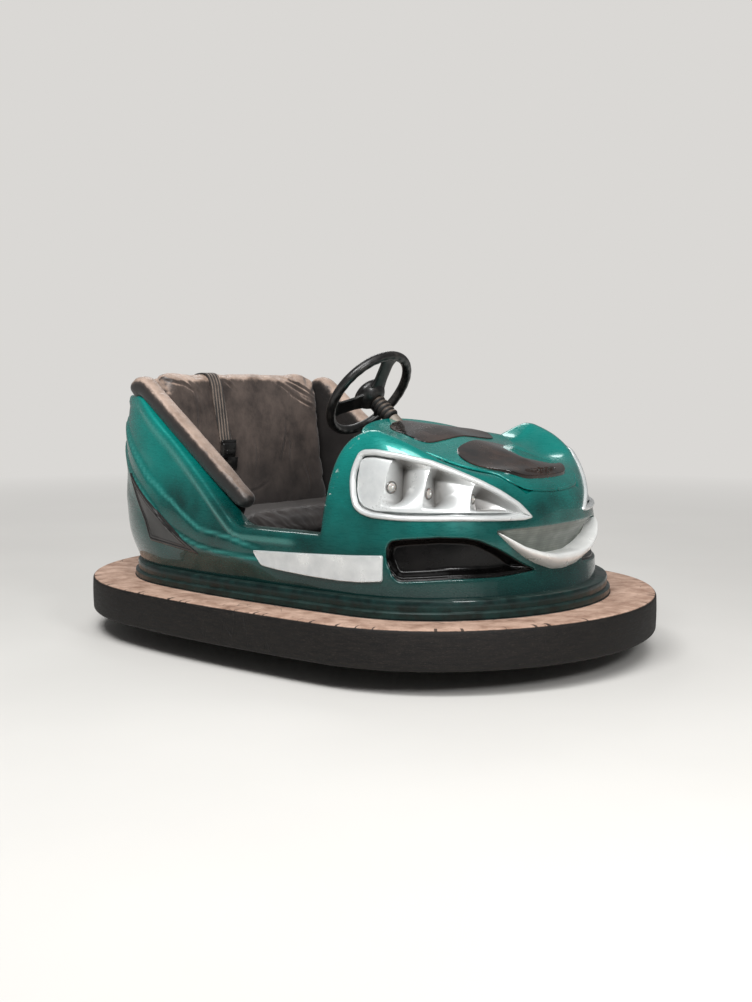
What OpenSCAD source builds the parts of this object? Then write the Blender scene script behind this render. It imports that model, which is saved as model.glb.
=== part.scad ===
// Bumper car: an electric fairground car with a moulded body on a rubber bumper ring.
// +X points to the nose, +Y to the car's left and +Z up.
// The origin lies on the floor under the middle of the ring. All sizes are in millimetres.

/* [Bumper ring] */
// Length over the rubber ring
ring_len = 1840; // [1780:10:1900]
// Width over the rubber ring
ring_wid = 1290; // [1250:10:1330]
// Height of the ring's underside above the floor
ring_z = 69; // [62:1:76]
// Height of the rubber ring
ring_h = 105; // [98:1:112]
// Width of the rubber ring's section
ring_w = 130; // [122:1:138]
// Rounding of the ring's outer edges
ring_round = 14; // [8:1:20]
// Radius of the gently bowed sides in front of the middle
side_r_front = 6800; // [6000:100:8000]
// Radius of the gently bowed sides behind the middle
side_r_rear = 2950; // [2700:50:3300]
// Radius of the front corners
corner_r_front = 510; // [480:5:540]
// Radius of the rear corners
corner_r_rear = 600; // [570:5:620]
// How far the front end bows out past its corner circles
bow_front = 48; // [42:1:54]
// How far the rear end bows out past its corner circles
bow_rear = 13.3; // [10:0.1:18]

/* [Steel chassis] */
// Thickness of the steel channel that carries the ring
rim_t = 6; // [4:1:8]
// Width of the channel's flanges
rim_flange = 46; // [40:1:52]
// Side of the square rails
rail = 40; // [36:1:44]
// Wall of the rails
rail_t = 4; // [3:1:5]
// Distance between the two long rails, middle to middle
rail_gap = 440; // [430:5:450]
// Thickness of the floor plate
floor_t = 3; // [2:1:5]

/* [Body] */
// Thickness of the moulded wall
wall_t = 18; // [14:1:22]
// Height of the dark skirt under the body
skirt_h = 50; // [44:1:56]
// Height of the sill above the floor
sill_z = 372; // [355:1:385]
// Height of the rear rim above the floor
rear_rim_z = 735; // [715:1:750]
// Distance from the ring's rear end to the rear end of the level sill
sill_from_tail = 874; // [850:1:900]
// Distance from the ring's front end back to the rear face of the fenders
fender_from_nose = 664; // [650:1:675]
// Distance from the ring's rear end to the place where the rim begins to slope down
slope_from_tail = 408; // [390:1:430]
// Distance from the ring's side to the side of the cockpit's opening
cockpit_in = 230; // [220:1:245]
// Distance from the ring's rear end to the rear of the cockpit's opening
cockpit_from_tail = 330; // [320:1:345]
// Distance from the ring's front end back to the front of the cockpit's opening
cockpit_from_nose = 630; // [620:1:638]
// Height of the bonnet's raised edge
bonnet_rise = 25; // [18:1:30]
// Depth of the lamp housings behind the wall
housing_depth = 66; // [60:1:72]

/* [Seat] */
// Height of the seat box
seat_box_h = 150; // [140:1:160]
// Wall of the seat box
seat_box_t = 12; // [9:1:15]
// Gap between the seat box and the rear tyres
box_gap = 16; // [10:1:24]
// Room between the side of the cockpit's opening and the seat
seat_room = 60; // [53:1:75]
// Thickness of the seat cushion
cushion_t = 85; // [70:1:95]
// Radius of the padded rolls along the rim
roll_r = 31; // [27:1:34]
// Height of the seat back's top above the floor
back_top_z = 802; // [790:1:815]

/* [Steering] */
// Outer diameter of the steering wheel
wheel_d = 315; // [300:1:330]
// Diameter of the steering wheel's rim section
wheel_grip = 26; // [22:1:30]
// Height of the steering wheel's middle above the floor
wheel_z = 740; // [725:1:755]
// Distance from the ring's front end back to the steering wheel's middle
wheel_from_nose = 884; // [874:1:894]
// Slope of the steering column from level
column_tilt = 38.8; // [37:0.1:41]
// Diameter of the steering shaft
shaft_d = 22; // [18:1:26]

/* [Running gear] */
// Distance from the ring's front end back to the drive unit's upright pivot
pivot_from_nose = 420; // [414:1:426]
// Diameter of the driven wheel
drive_d = 240; // [230:2:248]
// Width of the driven tyre
drive_w = 70; // [60:1:76]
// Diameter of the upright pivot pin
pivot_d = 50; // [44:1:56]
// Length of the drive motor
motor_len = 104; // [90:1:106]
// Diameter of the drive motor
motor_d = 140; // [125:1:145]
// Diameter of the rear wheels
rear_d = 200; // [190:2:210]
// Width of the rear tyres
rear_w = 48; // [42:1:54]
// Distance from the ring's rear end to the rear axles
axle_from_tail = 420; // [415:1:440]
// Gap between the rear tyres and the channel beside them
tyre_room = 7.7; // [5:0.1:12]
// Running clearance of a pin in its bore, on the radius
run_gap = 0.05; // [0.03:0.01:0.08]
// Clearance between a soft or bolted-on piece and its seat
seat_gap = 0.3; // [0.2:0.1:0.5]

/* [Hidden] */
$fn = 96;

teal = "#0f7f78";
dark_teal = "#05423f";
silver = "#c9cbcc";
black = "#141414";
vinyl = "#2b2522";
steel = "#5b5e60";
rubber = "#1c1a19";

// Heights that the pieces share
ring_top = ring_z + ring_h;
rim_low = ring_z + 25;
rim_top = ring_top - 2;
rail_z = rim_low + rim_t;
floor_z = rail_z + rail;
foot_z = rim_top + skirt_h;
box_z = floor_z + floor_t;
seat_z = box_z + seat_box_h;

// Places that are measured from the ring's ends and sides
sill_rear_x = sill_from_tail - ring_len / 2;
fender_x = ring_len / 2 - fender_from_nose;
slope_x = slope_from_tail - ring_len / 2;
cockpit_rear_x = cockpit_from_tail - ring_len / 2;
cockpit_front_x = ring_len / 2 - cockpit_from_nose;
cockpit_half = ring_wid / 2 - cockpit_in;
seat_half = cockpit_half - seat_room;
wheel_x = ring_len / 2 - wheel_from_nose;
pivot_x = ring_len / 2 - pivot_from_nose;
rear_x = ring_len / 2 - axle_from_tail;
// Reach of the cutting shapes past the car
beyond = ring_len;

// The ring's plan: an end arc, two corner arcs and two bowed sides at each end of the car
nose_x = ring_len / 2;
tail_x = -ring_len / 2;
half_wid = ring_wid / 2;
function end_arcs(side_r, corner_r, bow) = let (
    side_end = acos((nose_x - corner_r - bow) / (side_r - corner_r)),
    side_c = [0, half_wid - side_r],
    corner_c = side_c + (side_r - corner_r) * [cos(side_end), sin(side_end)],
    more = (bow * bow + corner_c.y * corner_c.y) / (2 * bow))
    [[side_r, side_c, side_end], [corner_r, corner_c, asin(corner_c.y / more)],
     [corner_r + more, [nose_x - corner_r - more, 0], 0]];
front_arcs = end_arcs(side_r_front, corner_r_front, bow_front);
rear_arcs = end_arcs(side_r_rear, corner_r_rear, bow_rear);

// A point of the plan where its outward normal turns phi from the nose, moved inwards by inset
function arc_of(arcs, phi) = phi >= arcs[0][2] ? arcs[0] : phi >= arcs[1][2] ? arcs[1] : arcs[2];
function quarter(arcs, phi, inset) = let (a = arc_of(arcs, phi)) a[1] + (a[0] - inset) * [cos(phi), sin(phi)];
function plan(phi, inset) = phi <= 90 ? quarter(front_arcs, phi, inset)
    : let (p = quarter(rear_arcs, 180 - phi, inset)) [-p.x, p.y];

// The closed outline at one inset, as a polygon
function spread(from, to, n) = [for (i = [0:n - 1]) from + (to - from) * i / n];
end_n = 7;
corner_n = 6;
side_n = 2;
side_end = front_arcs[0][2];
side_start = 180 - rear_arcs[0][2];
corner_start = 180 - rear_arcs[1][2];
half_phis = concat(spread(0, front_arcs[1][2], end_n), spread(front_arcs[1][2], side_end, corner_n),
    spread(side_end, 90, side_n), spread(90, side_start, side_n),
    spread(side_start, corner_start, corner_n), spread(corner_start, 180, end_n), [180]);
function outline(inset) = let (left = [for (phi = half_phis) plan(phi, inset)])
    concat(left, [for (i = [len(left) - 2:-1:1]) [left[i].x, -left[i].y]]);

// Half width of the plan at a place along the car, and length of the plan at a distance from the middle
function half_on(arcs, x, inset) = let (side = arcs[0], corner = arcs[1],
    a = x <= side[1].x + (side[0] - inset) * cos(side[2]) ? side
        : x <= corner[1].x + (corner[0] - inset) * cos(corner[2]) ? corner : arcs[2])
    a[1].y + sqrt(pow(a[0] - inset, 2) - pow(x - a[1].x, 2));
function half_width(x, inset) = half_on(x >= 0 ? front_arcs : rear_arcs, abs(x), inset);
function end_x(arcs, y, inset) = arcs[2][1].x + sqrt(pow(arcs[2][0] - inset, 2) - y * y);

// Sweeps a section, listed as [inset, height] points from the outer edge upwards, along the plan
module ring_sweep(section) {
    loops = [for (p = section) [for (q = outline(p[0])) [q.x, q.y, p[1]]]];
    n = len(loops[0]);
    m = len(section);
    polyhedron(points = [for (l = loops, q = l) q],
        faces = [for (k = [0:m - 1], i = [0:n - 1]) let (a = k * n, b = ((k + 1) % m) * n, j = (i + 1) % n)
            [a + i, b + i, b + j, a + j]], convexity = 6);
}

// Body surface
// Each row is one station round the body, from the nose to the tail.
// phi: direction of the station. foot, belly, waist, chest: insets from the ring's plan at four fixed
// heights. crest, crest_z: inset and height of the shoulder's top. valley, valley_z: inset and height of
// the dip inside it. spine, spine_z: place and height where the station meets the middle of the car.
// The spine's place is given behind the nose, or ahead of the tail if it is below zero.
function spine_at(d) = d > 0 ? nose_x - d : d < 0 ? tail_x - d : 0;
// Directions of stations on the bowed sides, at a distance from the ring's front or rear end
function side_phi(d) = acos((nose_x - d) / side_r_front);
function rear_side_phi(d) = 180 - acos((nose_x - d) / side_r_rear);
body_table = [
    // phi, foot, belly, waist, chest, crest, crest_z, valley, valley_z, spine, spine_z
    [0, 178, 205, 204, 212, 250, 512, 290, 532, 320, 550],
    [14, 177, 196, 194, 206, 246, 517, 300, 535, 335, 555],
    [28, 174, 180, 180, 200, 240, 530, 320, 540, 360, 564],
    [41.5, 170, 172, 176, 196, 240, 560, 335, 551, 400, 577],
    [54, 168, 170, 176, 192, 244, 592, 350, 566, 460, 592],
    [68, 167, 168, 176, 190, 250, 622, 360, 580, 520, 605],
    [82, 166, 166, 175, 188, 250, 642, 365, 592, 590, 617],
    [side_phi(528.4), 164, 163, 172, 186, 250, 648, 368, 602, 670, 628],
    [side_phi(706.4), 165, 160, 168, 182, 250, 652, 370, 614, 790, 640],
    [90, 162, 156, 164, 180, 240, 700, 372, 700, 0, 700],
    [rear_side_phi(662.9), 160, 150, 156, 170, 215, 770, 360, 780, -670, 790],
    [102, 156, 142, 144, 156, 190, 780, 360, 790, -550, 800],
    [118, 152, 128, 122, 126, 160, 780, 360, 790, -470, 800],
    [136, 148, 116, 106, 106, 142, 780, 360, 790, -400, 800],
    [158, 150, 118, 108, 108, 142, 780, 360, 790, -360, 800],
    [180, 152, 122, 112, 112, 144, 780, 360, 790, -340, 800]];
body_rows = [for (r = body_table) [for (k = [0:10]) k == 9 ? spine_at(r[9]) : r[k]]];
level_z = [foot_z, 300, 380, 470];
level_n = 15;
row_n = 45;
row_last = len(body_rows) - 1;

// Smooth curve through a list of rows, at a place between 0 and its last row
function bend(p, t) = let (n = len(p) - 1, i = min(floor(t), n - 1), s = t - i,
    a = p[max(i - 1, 0)], b = p[i], c = p[i + 1], d = p[min(i + 2, n)])
    b + 0.5 * s * (c - a + s * (2 * a - 5 * b + 4 * c - d + s * (3 * (b - c) + d - a)));

// The seven points of one station, on the car's left, for a wall that is moved inwards by shrink
function station(row, shrink) = let (w = [for (k = [0:3]) plan(row[0], row[1 + k] + shrink)],
    crest = plan(row[0], row[5] + shrink), valley = plan(row[0], row[7] + shrink))
    [for (k = [0:3]) [w[k].x, w[k].y, level_z[k]],
     [crest.x, crest.y, row[6] - shrink],
     [valley.x, valley.y, row[8] - shrink],
     [row[9] - shrink / 2, 0, row[10] - shrink]];
function body_at(t, s, shrink) = let (p = bend(station(bend(body_rows, t), shrink), s))
    [p.x, max(p.y, 0), p.z];

// The whole body as one closed solid, over the cockpit too
module body_solid(shrink, drop) {
    lines = [for (i = [0:row_n])
        [for (j = [0:level_n]) body_at(i * row_last / row_n, j * 6 / level_n, shrink)]];
    per = level_n + 1;
    left = [for (i = [0:row_n], j = [0:level_n]) let (p = lines[i][j])
        [p.x, (i == 0 || i == row_n || j == level_n) ? 0 : p.y, j == 0 ? p.z - drop : p.z]];
    right = [for (i = [0:row_n], j = [0:level_n]) let (p = left[i * per + j]) [p.x, -p.y, p.z]];
    shift = (row_n + 1) * per;
    function at(side, i, j) = i * per + j + ((side == 1 && i > 0 && i < row_n && j < level_n) ? shift : 0);
    sides = [for (i = [0:row_n - 1], j = [0:level_n - 1], side = [0, 1])
        let (q = [at(side, i, j), at(side, i, j + 1), at(side, i + 1, j + 1), at(side, i + 1, j)])
        side == 0 ? q : [q[3], q[2], q[1], q[0]]];
    foot = concat([for (i = [0:row_n]) at(0, i, 0)], [for (i = [row_n - 1:-1:1]) at(1, i, 0)]);
    polyhedron(points = concat(left, right), faces = concat(sides, [foot]), convexity = 8);
}

// Side view of everything below the rim, the sill and the rounded rear edge of the fenders
fender_edge = [[0, 14], [2, 60], [6, 150], [14, 196], [28, 232], [50, 262], [84, 285]];
module below_rim(grow) {
    upright(2 * beyond) offset(delta = -grow) polygon(concat(
        [[beyond, -60], [-beyond, -60], [-beyond, rear_rim_z], [slope_x, rear_rim_z],
         [sill_rear_x, sill_z], [fender_x - 14, sill_z]],
        [for (p = fender_edge) [fender_x + p[0], sill_z + p[1]]],
        [[fender_x + 104, beyond], [beyond, beyond]]));
}
// Plan of the cockpit's opening, with rounded rear corners
cockpit_r = 90;
module cockpit_hole() {
    translate([0, 0, foot_z + 60]) linear_extrude(900) {
        for (side = [-1, 1])
            translate([cockpit_rear_x + cockpit_r, side * (cockpit_half - cockpit_r)]) circle(cockpit_r);
        translate([cockpit_rear_x, cockpit_r - cockpit_half])
            square([cockpit_front_x - cockpit_rear_x, 2 * (cockpit_half - cockpit_r)]);
        translate([cockpit_rear_x + cockpit_r, -cockpit_half])
            square([cockpit_front_x - cockpit_rear_x - cockpit_r, 2 * cockpit_half]);
    }
}

// A point of the outer wall at a station and a height, moved outwards by out.
// Stations below zero lie on the car's right.
function height_to_level(zs, z, a, b, n) = let (m = (a + b) / 2)
    n == 0 ? m : bend(zs, m) < z ? height_to_level(zs, z, m, b, n - 1) : height_to_level(zs, z, a, m, n - 1);
function wall_at(t, z, out) = let (row = bend(body_rows, abs(t)),
    s = height_to_level(concat(level_z, [row[6], row[8]]), z, 0, 4, 16),
    p = plan(row[0], bend([row[1], row[2], row[3], row[4], row[5], row[7]], s) - out))
    [p.x, t < 0 ? -p.y : p.y, z];

// A solid that follows the wall through a list of stations, between a lower and an upper edge.
// low, high: tables of station and height. section: edge (0 low, 1 high), distance from that edge,
// distance out of the wall, and shares of the depths that depths lists for each station.
module wall_loft(stations, low, high, section, depths = []) {
    m = len(section);
    last = len(stations) - 1;
    points = [for (i = [0:last], p = section) let (
        a = lookup(abs(stations[i]), low), b = lookup(abs(stations[i]), high),
        d = min(p[1], 0.42 * (b - a)), depth = len(depths) > 0 ? depths[i] : 0)
        wall_at(stations[i], p[0] == 0 ? a + d : b - d, p[2] - p[3] * depth)];
    sides = [for (i = [0:last - 1], j = [0:m - 1]) let (k = i * m, n = (j + 1) % m)
        each [[k + j, k + n, k + m + n], [k + j, k + m + n, k + m + j]]];
    polyhedron(points = points,
        faces = concat(sides, [[for (j = [m - 1:-1:0]) j]], [[for (j = [0:m - 1]) last * m + j]]),
        convexity = 8);
}
module on_side(side) { mirror([0, side == "right" ? 1 : 0, 0]) children(); }
module both_sides() {
    children();
    mirror([0, 1, 0]) children();
}

// Lamp housing: lower and upper edge, the stations of its solid tips, and between them stations with the
// depth of the pocket and how much shallower the housing is there, to stay under the hood
cluster_low = [[1.08, 418], [1.3, 414], [3, 420], [4.84, 420], [5.83, 425], [6.6, 434], [6.95, 450],
    [7.06, 480], [7.12, 520]];
cluster_high = [[1.08, 424], [1.39, 460], [1.84, 495], [2.3, 522], [3.02, 554], [3.87, 575], [5.02, 592],
    [6.04, 601], [6.9, 599], [7.03, 590], [7.08, 570], [7.12, 545]];
cluster_tips = [[1.12, 1.4], [7.06, 7.11]];
cluster_stops = [[1.8, 22, 6], [2.2, 38, 6], [2.48, 46, 6], [2.52, 8, 6], [2.9, 14, 16], [3.4, 34, 18],
    [3.94, 42, 16], [3.98, 8, 16], [4.3, 14, 10], [4.8, 38, 0], [5.2, 56, 0], [5.24, 10, 0], [5.7, 8, 0],
    [6.2, 8, 0], [6.7, 8, 0], [6.95, 7, 0]];
opening_gap = 8;
tip_h = 3;
module lamp_cluster(side) {
    stops = concat([for (t = cluster_tips[0]) [t, [-tip_h, 0]]],
        [for (q = cluster_stops) [q[0], [q[1], housing_depth + 1 - q[2]]]],
        [for (t = cluster_tips[1]) [t, [-tip_h, 0]]]);
    wall = [0, 0];
    pocket = [1, 0];
    back = [0, 1];
    color(silver) on_side(side) wall_loft([for (q = stops) q[0]], cluster_low, cluster_high,
        [[0, 0, 1, wall], [0, 1, 5, wall], [0, 11, 6, wall], [0, 15, 0, pocket], [1, 15, 0, pocket],
         [1, 11, 6, wall], [1, 1, 5, wall], [1, 0, 1, wall], [1, opening_gap + 2, 1, wall],
         [1, opening_gap + 4, 1, back], [0, opening_gap + 4, 1, back], [0, opening_gap + 2, 1, wall]],
        [for (q = stops) q[1]]);
}
// What lies on the wall, and what passes through an opening in it, both clear of the wall itself
sunk = 4;
module on_wall() {
    difference() {
        children(0);
        difference() {
            body_solid(-seat_gap, 0);
            if ($children > 1) children(1);
        }
    }
}
module cluster_opening() {
    stops = [for (q = cluster_stops) q[0]];
    wall_loft(concat([1.34, cluster_tips[0][1]], stops, [cluster_tips[1][0], 7.08]),
        cluster_low, cluster_high,
        [[0, opening_gap, 30, 0], [1, opening_gap, 30, 0],
         [1, opening_gap, -60, 0], [0, opening_gap, -60, 0]]);
}
// Each lamp stands on the step in front of a fin and looks towards the nose
lamp_stops = [[2.5, 470, 27], [3.96, 482, 23], [5.22, 492, 32]];
lamp_gap = 0.8;
module lamps() {
    color("white") both_sides() for (q = lamp_stops) {
        p = wall_at(q[0] - 0.02, q[1], -q[2]);
        ahead = wall_at(q[0] - 0.25, q[1], -q[2]) - p;
        translate(p + lamp_gap * ahead / norm(ahead)) rotate([0, 90, atan2(ahead.y, ahead.x)]) {
            cylinder(h = 5, d = 30);
            translate([0, 0, 5]) cylinder(h = 7, d = 18);
        }
    }
}
intake_low = [[1, 279], [1.98, 271], [3.15, 272], [4.85, 264], [5.04, 276], [5.26, 320]];
intake_high = [[1, 282], [1.44, 306], [1.98, 343], [2.45, 369], [2.78, 377], [3.52, 380], [4.82, 373],
    [5.14, 368], [5.26, 352]];
intake_middle = [1.44, 1.98, 2.45, 2.8, 3.5, 4.2, 4.85, 5.08];
intake_stations = concat([1.11], intake_middle, [5.21]);
module intake_opening() {
    wall_loft(concat([1.1], intake_stations, [5.22]), intake_low, intake_high,
        [[0, 0, 30, 0], [1, 0, 30, 0], [1, 0, -40, 0], [0, 0, -40, 0]]);
}
module intakes() {
    depth = 40;
    back_t = 4;
    edge = 0.8;
    color(black) both_sides() wall_loft(intake_stations, intake_low, intake_high,
        [[0, edge, -2, 0], [0, back_t, -2, 0], [0, back_t + 1, -depth, 0], [1, back_t + 1, -depth, 0],
         [1, back_t, -2, 0], [1, edge, -2, 0], [1, edge, -depth - back_t, 0], [0, edge, -depth - back_t, 0]]);
}
sill_low = [[5.33, 262], [6.24, 256], [7.16, 254], [7.86, 257], [8.52, 264], [8.8, 271], [8.93, 306]];
sill_high = [[5.33, 331], [7.16, 324], [8.06, 318], [8.93, 312]];
module sill_panels() {
    color(silver) on_wall() both_sides() wall_loft([5.36, 5.8, 6.3, 6.8, 7.2, 7.8, 8.3, 8.6, 8.8, 8.93],
        sill_low, sill_high, [[0, 0, -sunk, 0], [0, 1, 8, 0], [0, 30, 5, 0], [1, 1, 8, 0], [1, 0, -sunk, 0]]);
}
vent_low = [[9.82, 280], [11.28, 300], [11.48, 352], [11.81, 412], [12.17, 488]];
vent_high = [[9.82, 285], [10.06, 316], [10.33, 350], [11.32, 420], [12.17, 498]];
module vents() {
    stations = [9.86, 10.2, 10.6, 11, 11.3, 11.5, 11.8, 12.1];
    color(black) on_wall() both_sides() wall_loft(stations, vent_low, vent_high,
        [[0, 0, -sunk, 0], [0, 0, 4, 0], [1, 0, 4, 0], [1, 0, -sunk, 0]]);
}
mouth_low = [[0, 272], [0.28, 277], [0.59, 287], [0.96, 305], [1.44, 337], [1.9, 373], [2.03, 386]];
mouth_mid = [[0, 312], [0.55, 315], [0.96, 328], [1.45, 352], [1.9, 381], [2.03, 388]];
mouth_high = [[0, 392], [1.45, 393], [2.03, 391]];
mouth_left = [0.3, 0.62, 0.96, 1.3, 1.65, 1.9, 2.01];
mouth_stations = concat([for (k = [len(mouth_left) - 1:-1:0]) -mouth_left[k]], [0], mouth_left);
lip_t = 5;
module mouth_opening() {
    wall_loft([for (t = mouth_stations) 0.97 * t], [for (q = mouth_mid) q - [0, lip_t + 1]], mouth_high,
        [[0, 0, 30, 0], [1, 0, 30, 0], [1, 0, -60, 0], [0, 0, -60, 0]]);
}
module mouth_lip() {
    color(silver) on_wall() {
        wall_loft(mouth_stations, mouth_low, mouth_mid, [[0, 0, -sunk, 0], [0, 5, 9, 0], [1, 3, 15, 0],
            [1, 0, 13, 0], [1, 0, -wall_t, 0], [1, lip_t, -wall_t, 0], [1, lip_t, -sunk, 0]]);
        mouth_opening();
    }
}
module mouth_insert() {
    back = -wall_t - 1.2;
    color("gray") wall_loft([for (t = mouth_stations) 0.96 * t], mouth_mid, mouth_high,
        [[0, -1, back - 4, 0], [0, -1, back, 0], [1, -6, back, 0], [1, -6, back - 4, 0]]);
}

module body_shell() {
    color(teal) difference() {
        intersection() {
            body_solid(0, 0);
            below_rim(0);
        }
        intersection() {
            body_solid(wall_t, 20);
            below_rim(wall_t);
        }
        cockpit_hole();
        mouth_opening();
        both_sides() {
            cluster_opening();
            intake_opening();
        }
    }
}

// Height of the body's top over a place in plan, by halving first the level and then the station
function level_of(ys, y, a, b, n) = let (m = (a + b) / 2)
    n == 0 ? m : bend(ys, m) > y ? level_of(ys, y, m, b, n - 1) : level_of(ys, y, a, m, n - 1);
function top_of(t, y) = let (p = station(bend(body_rows, t), 0))
    bend(p, level_of([for (q = p) q.y], y, 3, 6, 12));
function top_at(x, y, a = 0, b = 9, n = 13) = let (m = (a + b) / 2, p = top_of(m, max(abs(y), 2)))
    n == 0 ? p.z : p.x > x ? top_at(x, y, m, b, n - 1) : top_at(x, y, a, m, n - 1);

// Bonnet: a raised cover on the body's top that reaches back over the feet. Its rise fades to the front.
// The share is listed by distance behind the nose.
rise_share = [[496, 0.28], [530, 0.5], [570, 0.75], [620, 0.95], [706, 1]];
rise_end = 490;
bonnet_half = half_wid - 393;
function rise_at(x, y) = nose_x - x < rise_end ? 0
    : bonnet_rise * lookup(nose_x - x, rise_share) * (1 - 0.25 * pow(abs(y) / bonnet_half, 6));
// Rows of a cover: distance behind the nose on the middle line and at the side edge, and distance of the
// side edge from the ring's side
bonnet_rows = [[790, 706, 393], [730, 658, 393], [670, 616, 395], [610, 572, 399], [554, 534, 409],
    [506, 504, 429]];
rear_panel_rows = [[754, 706, 527], [706, 658, 495], [650, 614, 475], [590, 570, 465], [536, 534, 485]];
front_panel_rows = [[480, 466, 499], [430, 422, 479], [375, 372, 473], [320, 324, 485], [275, 282, 511],
    [240, 252, 533]];
cover_n = 12;
panel_t = 2.5;
// A plate that follows the hood under a list of such rows, between two distances from its surface
module cover_plate(rows, low, high) {
    n = cover_n;
    m = n + 1;
    last = len(rows) - 1;
    top = [for (r = rows, j = [0:n]) let (u = 2 * j / n - 1, x = nose_x - r[0] - (r[1] - r[0]) * u * u,
        y = (half_wid - r[2]) * u)
        [x, y, top_at(x, y) + rise_at(x, y)]];
    under = (last + 1) * m;
    upper_faces = [for (i = [0:last - 1], j = [0:n - 1]) let (a = i * m + j)
        [[a, a + 1, a + m], [a + 1, a + m + 1, a + m]]];
    edge = concat([for (j = [0:n - 1]) j], [for (i = [0:last - 1]) i * m + n],
        [for (j = [n:-1:1]) last * m + j], [for (i = [last:-1:1]) i * m]);
    polyhedron(points = concat([for (p = top) p + [0, 0, high]], [for (p = top) p + [0, 0, low]]),
        faces = concat([for (pair = upper_faces, f = pair) f],
            [for (pair = upper_faces, f = pair) [f[2] + under, f[1] + under, f[0] + under]],
            [for (k = [0:len(edge) - 1]) let (a = edge[k], b = edge[(k + 1) % len(edge)])
                each [[b, a, a + under], [b, a + under, b + under]]]), convexity = 6);
}
column_gap = 4;
module bonnet() {
    color(teal) difference() {
        cover_plate(bonnet_rows, -bonnet_rise - 8, 0);
        body_solid(-seat_gap, 0);
        on_column() cylinder(h = 800, d = tube_d + 2 * column_gap);
    }
}
module hood_panels() {
    color(black) {
        difference() {
            cover_plate(rear_panel_rows, -6, panel_t);
            cover_plate(bonnet_rows, -bonnet_rise, seat_gap);
        }
        difference() {
            cover_plate(front_panel_rows, -6, panel_t);
            body_solid(-seat_gap, 0);
        }
    }
}

module bumper_ring() {
    r = ring_round;
    color(rubber) ring_sweep([[ring_w, ring_z], [r, ring_z], [0.3 * r, ring_z + 0.3 * r], [0, ring_z + r],
        [0, ring_top - r], [0.3 * r, ring_top - 0.3 * r], [r, ring_top], [ring_w, ring_top]]);
}
module bumper_rim() {
    a = ring_w + seat_gap;
    b = a + rim_flange;
    color(steel) ring_sweep([[a, rim_low], [a, rim_top], [b, rim_top], [b, rim_top - rim_t],
        [a + rim_t, rim_top - rim_t], [a + rim_t, rim_low + rim_t], [b, rim_low + rim_t], [b, rim_low]]);
}
module skirt() {
    a = ring_w + 2;
    deck_t = 6;
    deck_w = 60;
    flange_w = 40;
    color(dark_teal) ring_sweep([[a, rim_top], [a, rim_top + 18], [a + 8, rim_top + 22],
        [a + 8, foot_z - deck_t],
        [a + 12, foot_z], [a + deck_w, foot_z], [a + deck_w, foot_z - deck_t], [a + 20, foot_z - deck_t],
        [a + 20, rim_top + deck_t], [a + flange_w, rim_top + deck_t], [a + flange_w, rim_top]]);
}

// Rails and cross members lie on the channel's lower flange and end just short of its web
bar_inset = ring_w + seat_gap + rim_t + 4;
bars_x = [tail_x + 280, -100, nose_x - 680];
rail_out = (rail_gap + rail) / 2;
module bars(grow, low) {
    w = rail - 2 * grow;
    rear = end_x(rear_arcs, rail_out, bar_inset) - grow;
    front = end_x(front_arcs, rail_out, bar_inset) - grow;
    for (side = [-1, 1]) translate([-rear, side * rail_gap / 2 - w / 2, rail_z - low])
        cube([rear + front, w, rail - grow + low]);
    for (x = bars_x) {
        half = min(half_width(x - rail / 2, bar_inset), half_width(x + rail / 2, bar_inset)) - grow;
        translate([x - w / 2, -half, rail_z - low]) cube([w, 2 * half, rail - grow + low]);
    }
}
module chassis_frame() {
    color(steel) difference() {
        bars(0, 0);
        bars(rail_t, 1);
    }
}
floor_inset = ring_w + rim_flange + 16;
// The rear wheels run between the channel and the seat box
rear_track = 2 * half_width(-rear_x - rear_d / 2, ring_w + rim_flange) - 2 * tyre_room - rear_w;
seat_box_w = rear_track - rear_w - 2 * box_gap;
well_gap = 10;
module floor_tray() {
    color(steel) difference() {
        translate([0, 0, floor_z]) linear_extrude(floor_t) polygon(outline(floor_inset));
        translate([pivot_x, 0, floor_z - 1]) cylinder(h = floor_t + 2, r = cover_r - cover_t);
        for (side = [-1, 1])
            translate([-rear_x - rear_d / 2 - 15, side * rear_track / 2 - rear_w / 2 - well_gap, floor_z - 1])
            cube([rear_d + 30, rear_w + 2 * well_gap, floor_t + 2]);
    }
}
// The cover clears the corner of the turning motor
motor_y = drive_w / 2 + 22;
cover_t = 6;
cover_r = norm([motor_y + motor_len, motor_d / 2]) + 6 + cover_t;
cover_h = 150;
module drive_cover() {
    color(dark_teal) translate([pivot_x, 0, box_z]) difference() {
        cylinder(h = cover_h, r = cover_r);
        translate([0, 0, -1]) cylinder(h = cover_h + 1 - cover_t, r = cover_r - cover_t);
        cylinder(h = cover_h + 1, r = 42);
    }
}
module kingpin_bearing() {
    color(steel) translate([pivot_x, 0, box_z + cover_h]) difference() {
        union() {
            cylinder(h = 8, r = 52);
            translate([0, 0, -24]) cylinder(h = 60, r = 40);
        }
        translate([0, 0, -25]) cylinder(h = 62, r = pivot_d / 2 + run_gap);
    }
}
fork_z = 255;
pin_top_z = box_z + cover_h + 38;
module drive_fork() {
    color(steel) translate([pivot_x, 0, 0]) difference() {
        union() {
            translate([0, 0, fork_z]) cylinder(h = pin_top_z + 12 - fork_z, d = pivot_d);
            translate([-45, -motor_y, fork_z]) cube([90, 2 * motor_y, 12]);
            for (side = [-1, 1]) translate([-30, side * (motor_y - 5) - 5, drive_d / 2 - 34])
                cube([60, 10, fork_z - drive_d / 2 + 35]);
            translate([0, 0, pin_top_z]) cylinder(h = 12, r = 36);
        }
        translate([0, 100, drive_d / 2]) rotate([90, 0, 0]) cylinder(h = 200, r = 12 + run_gap);
    }
}
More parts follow.
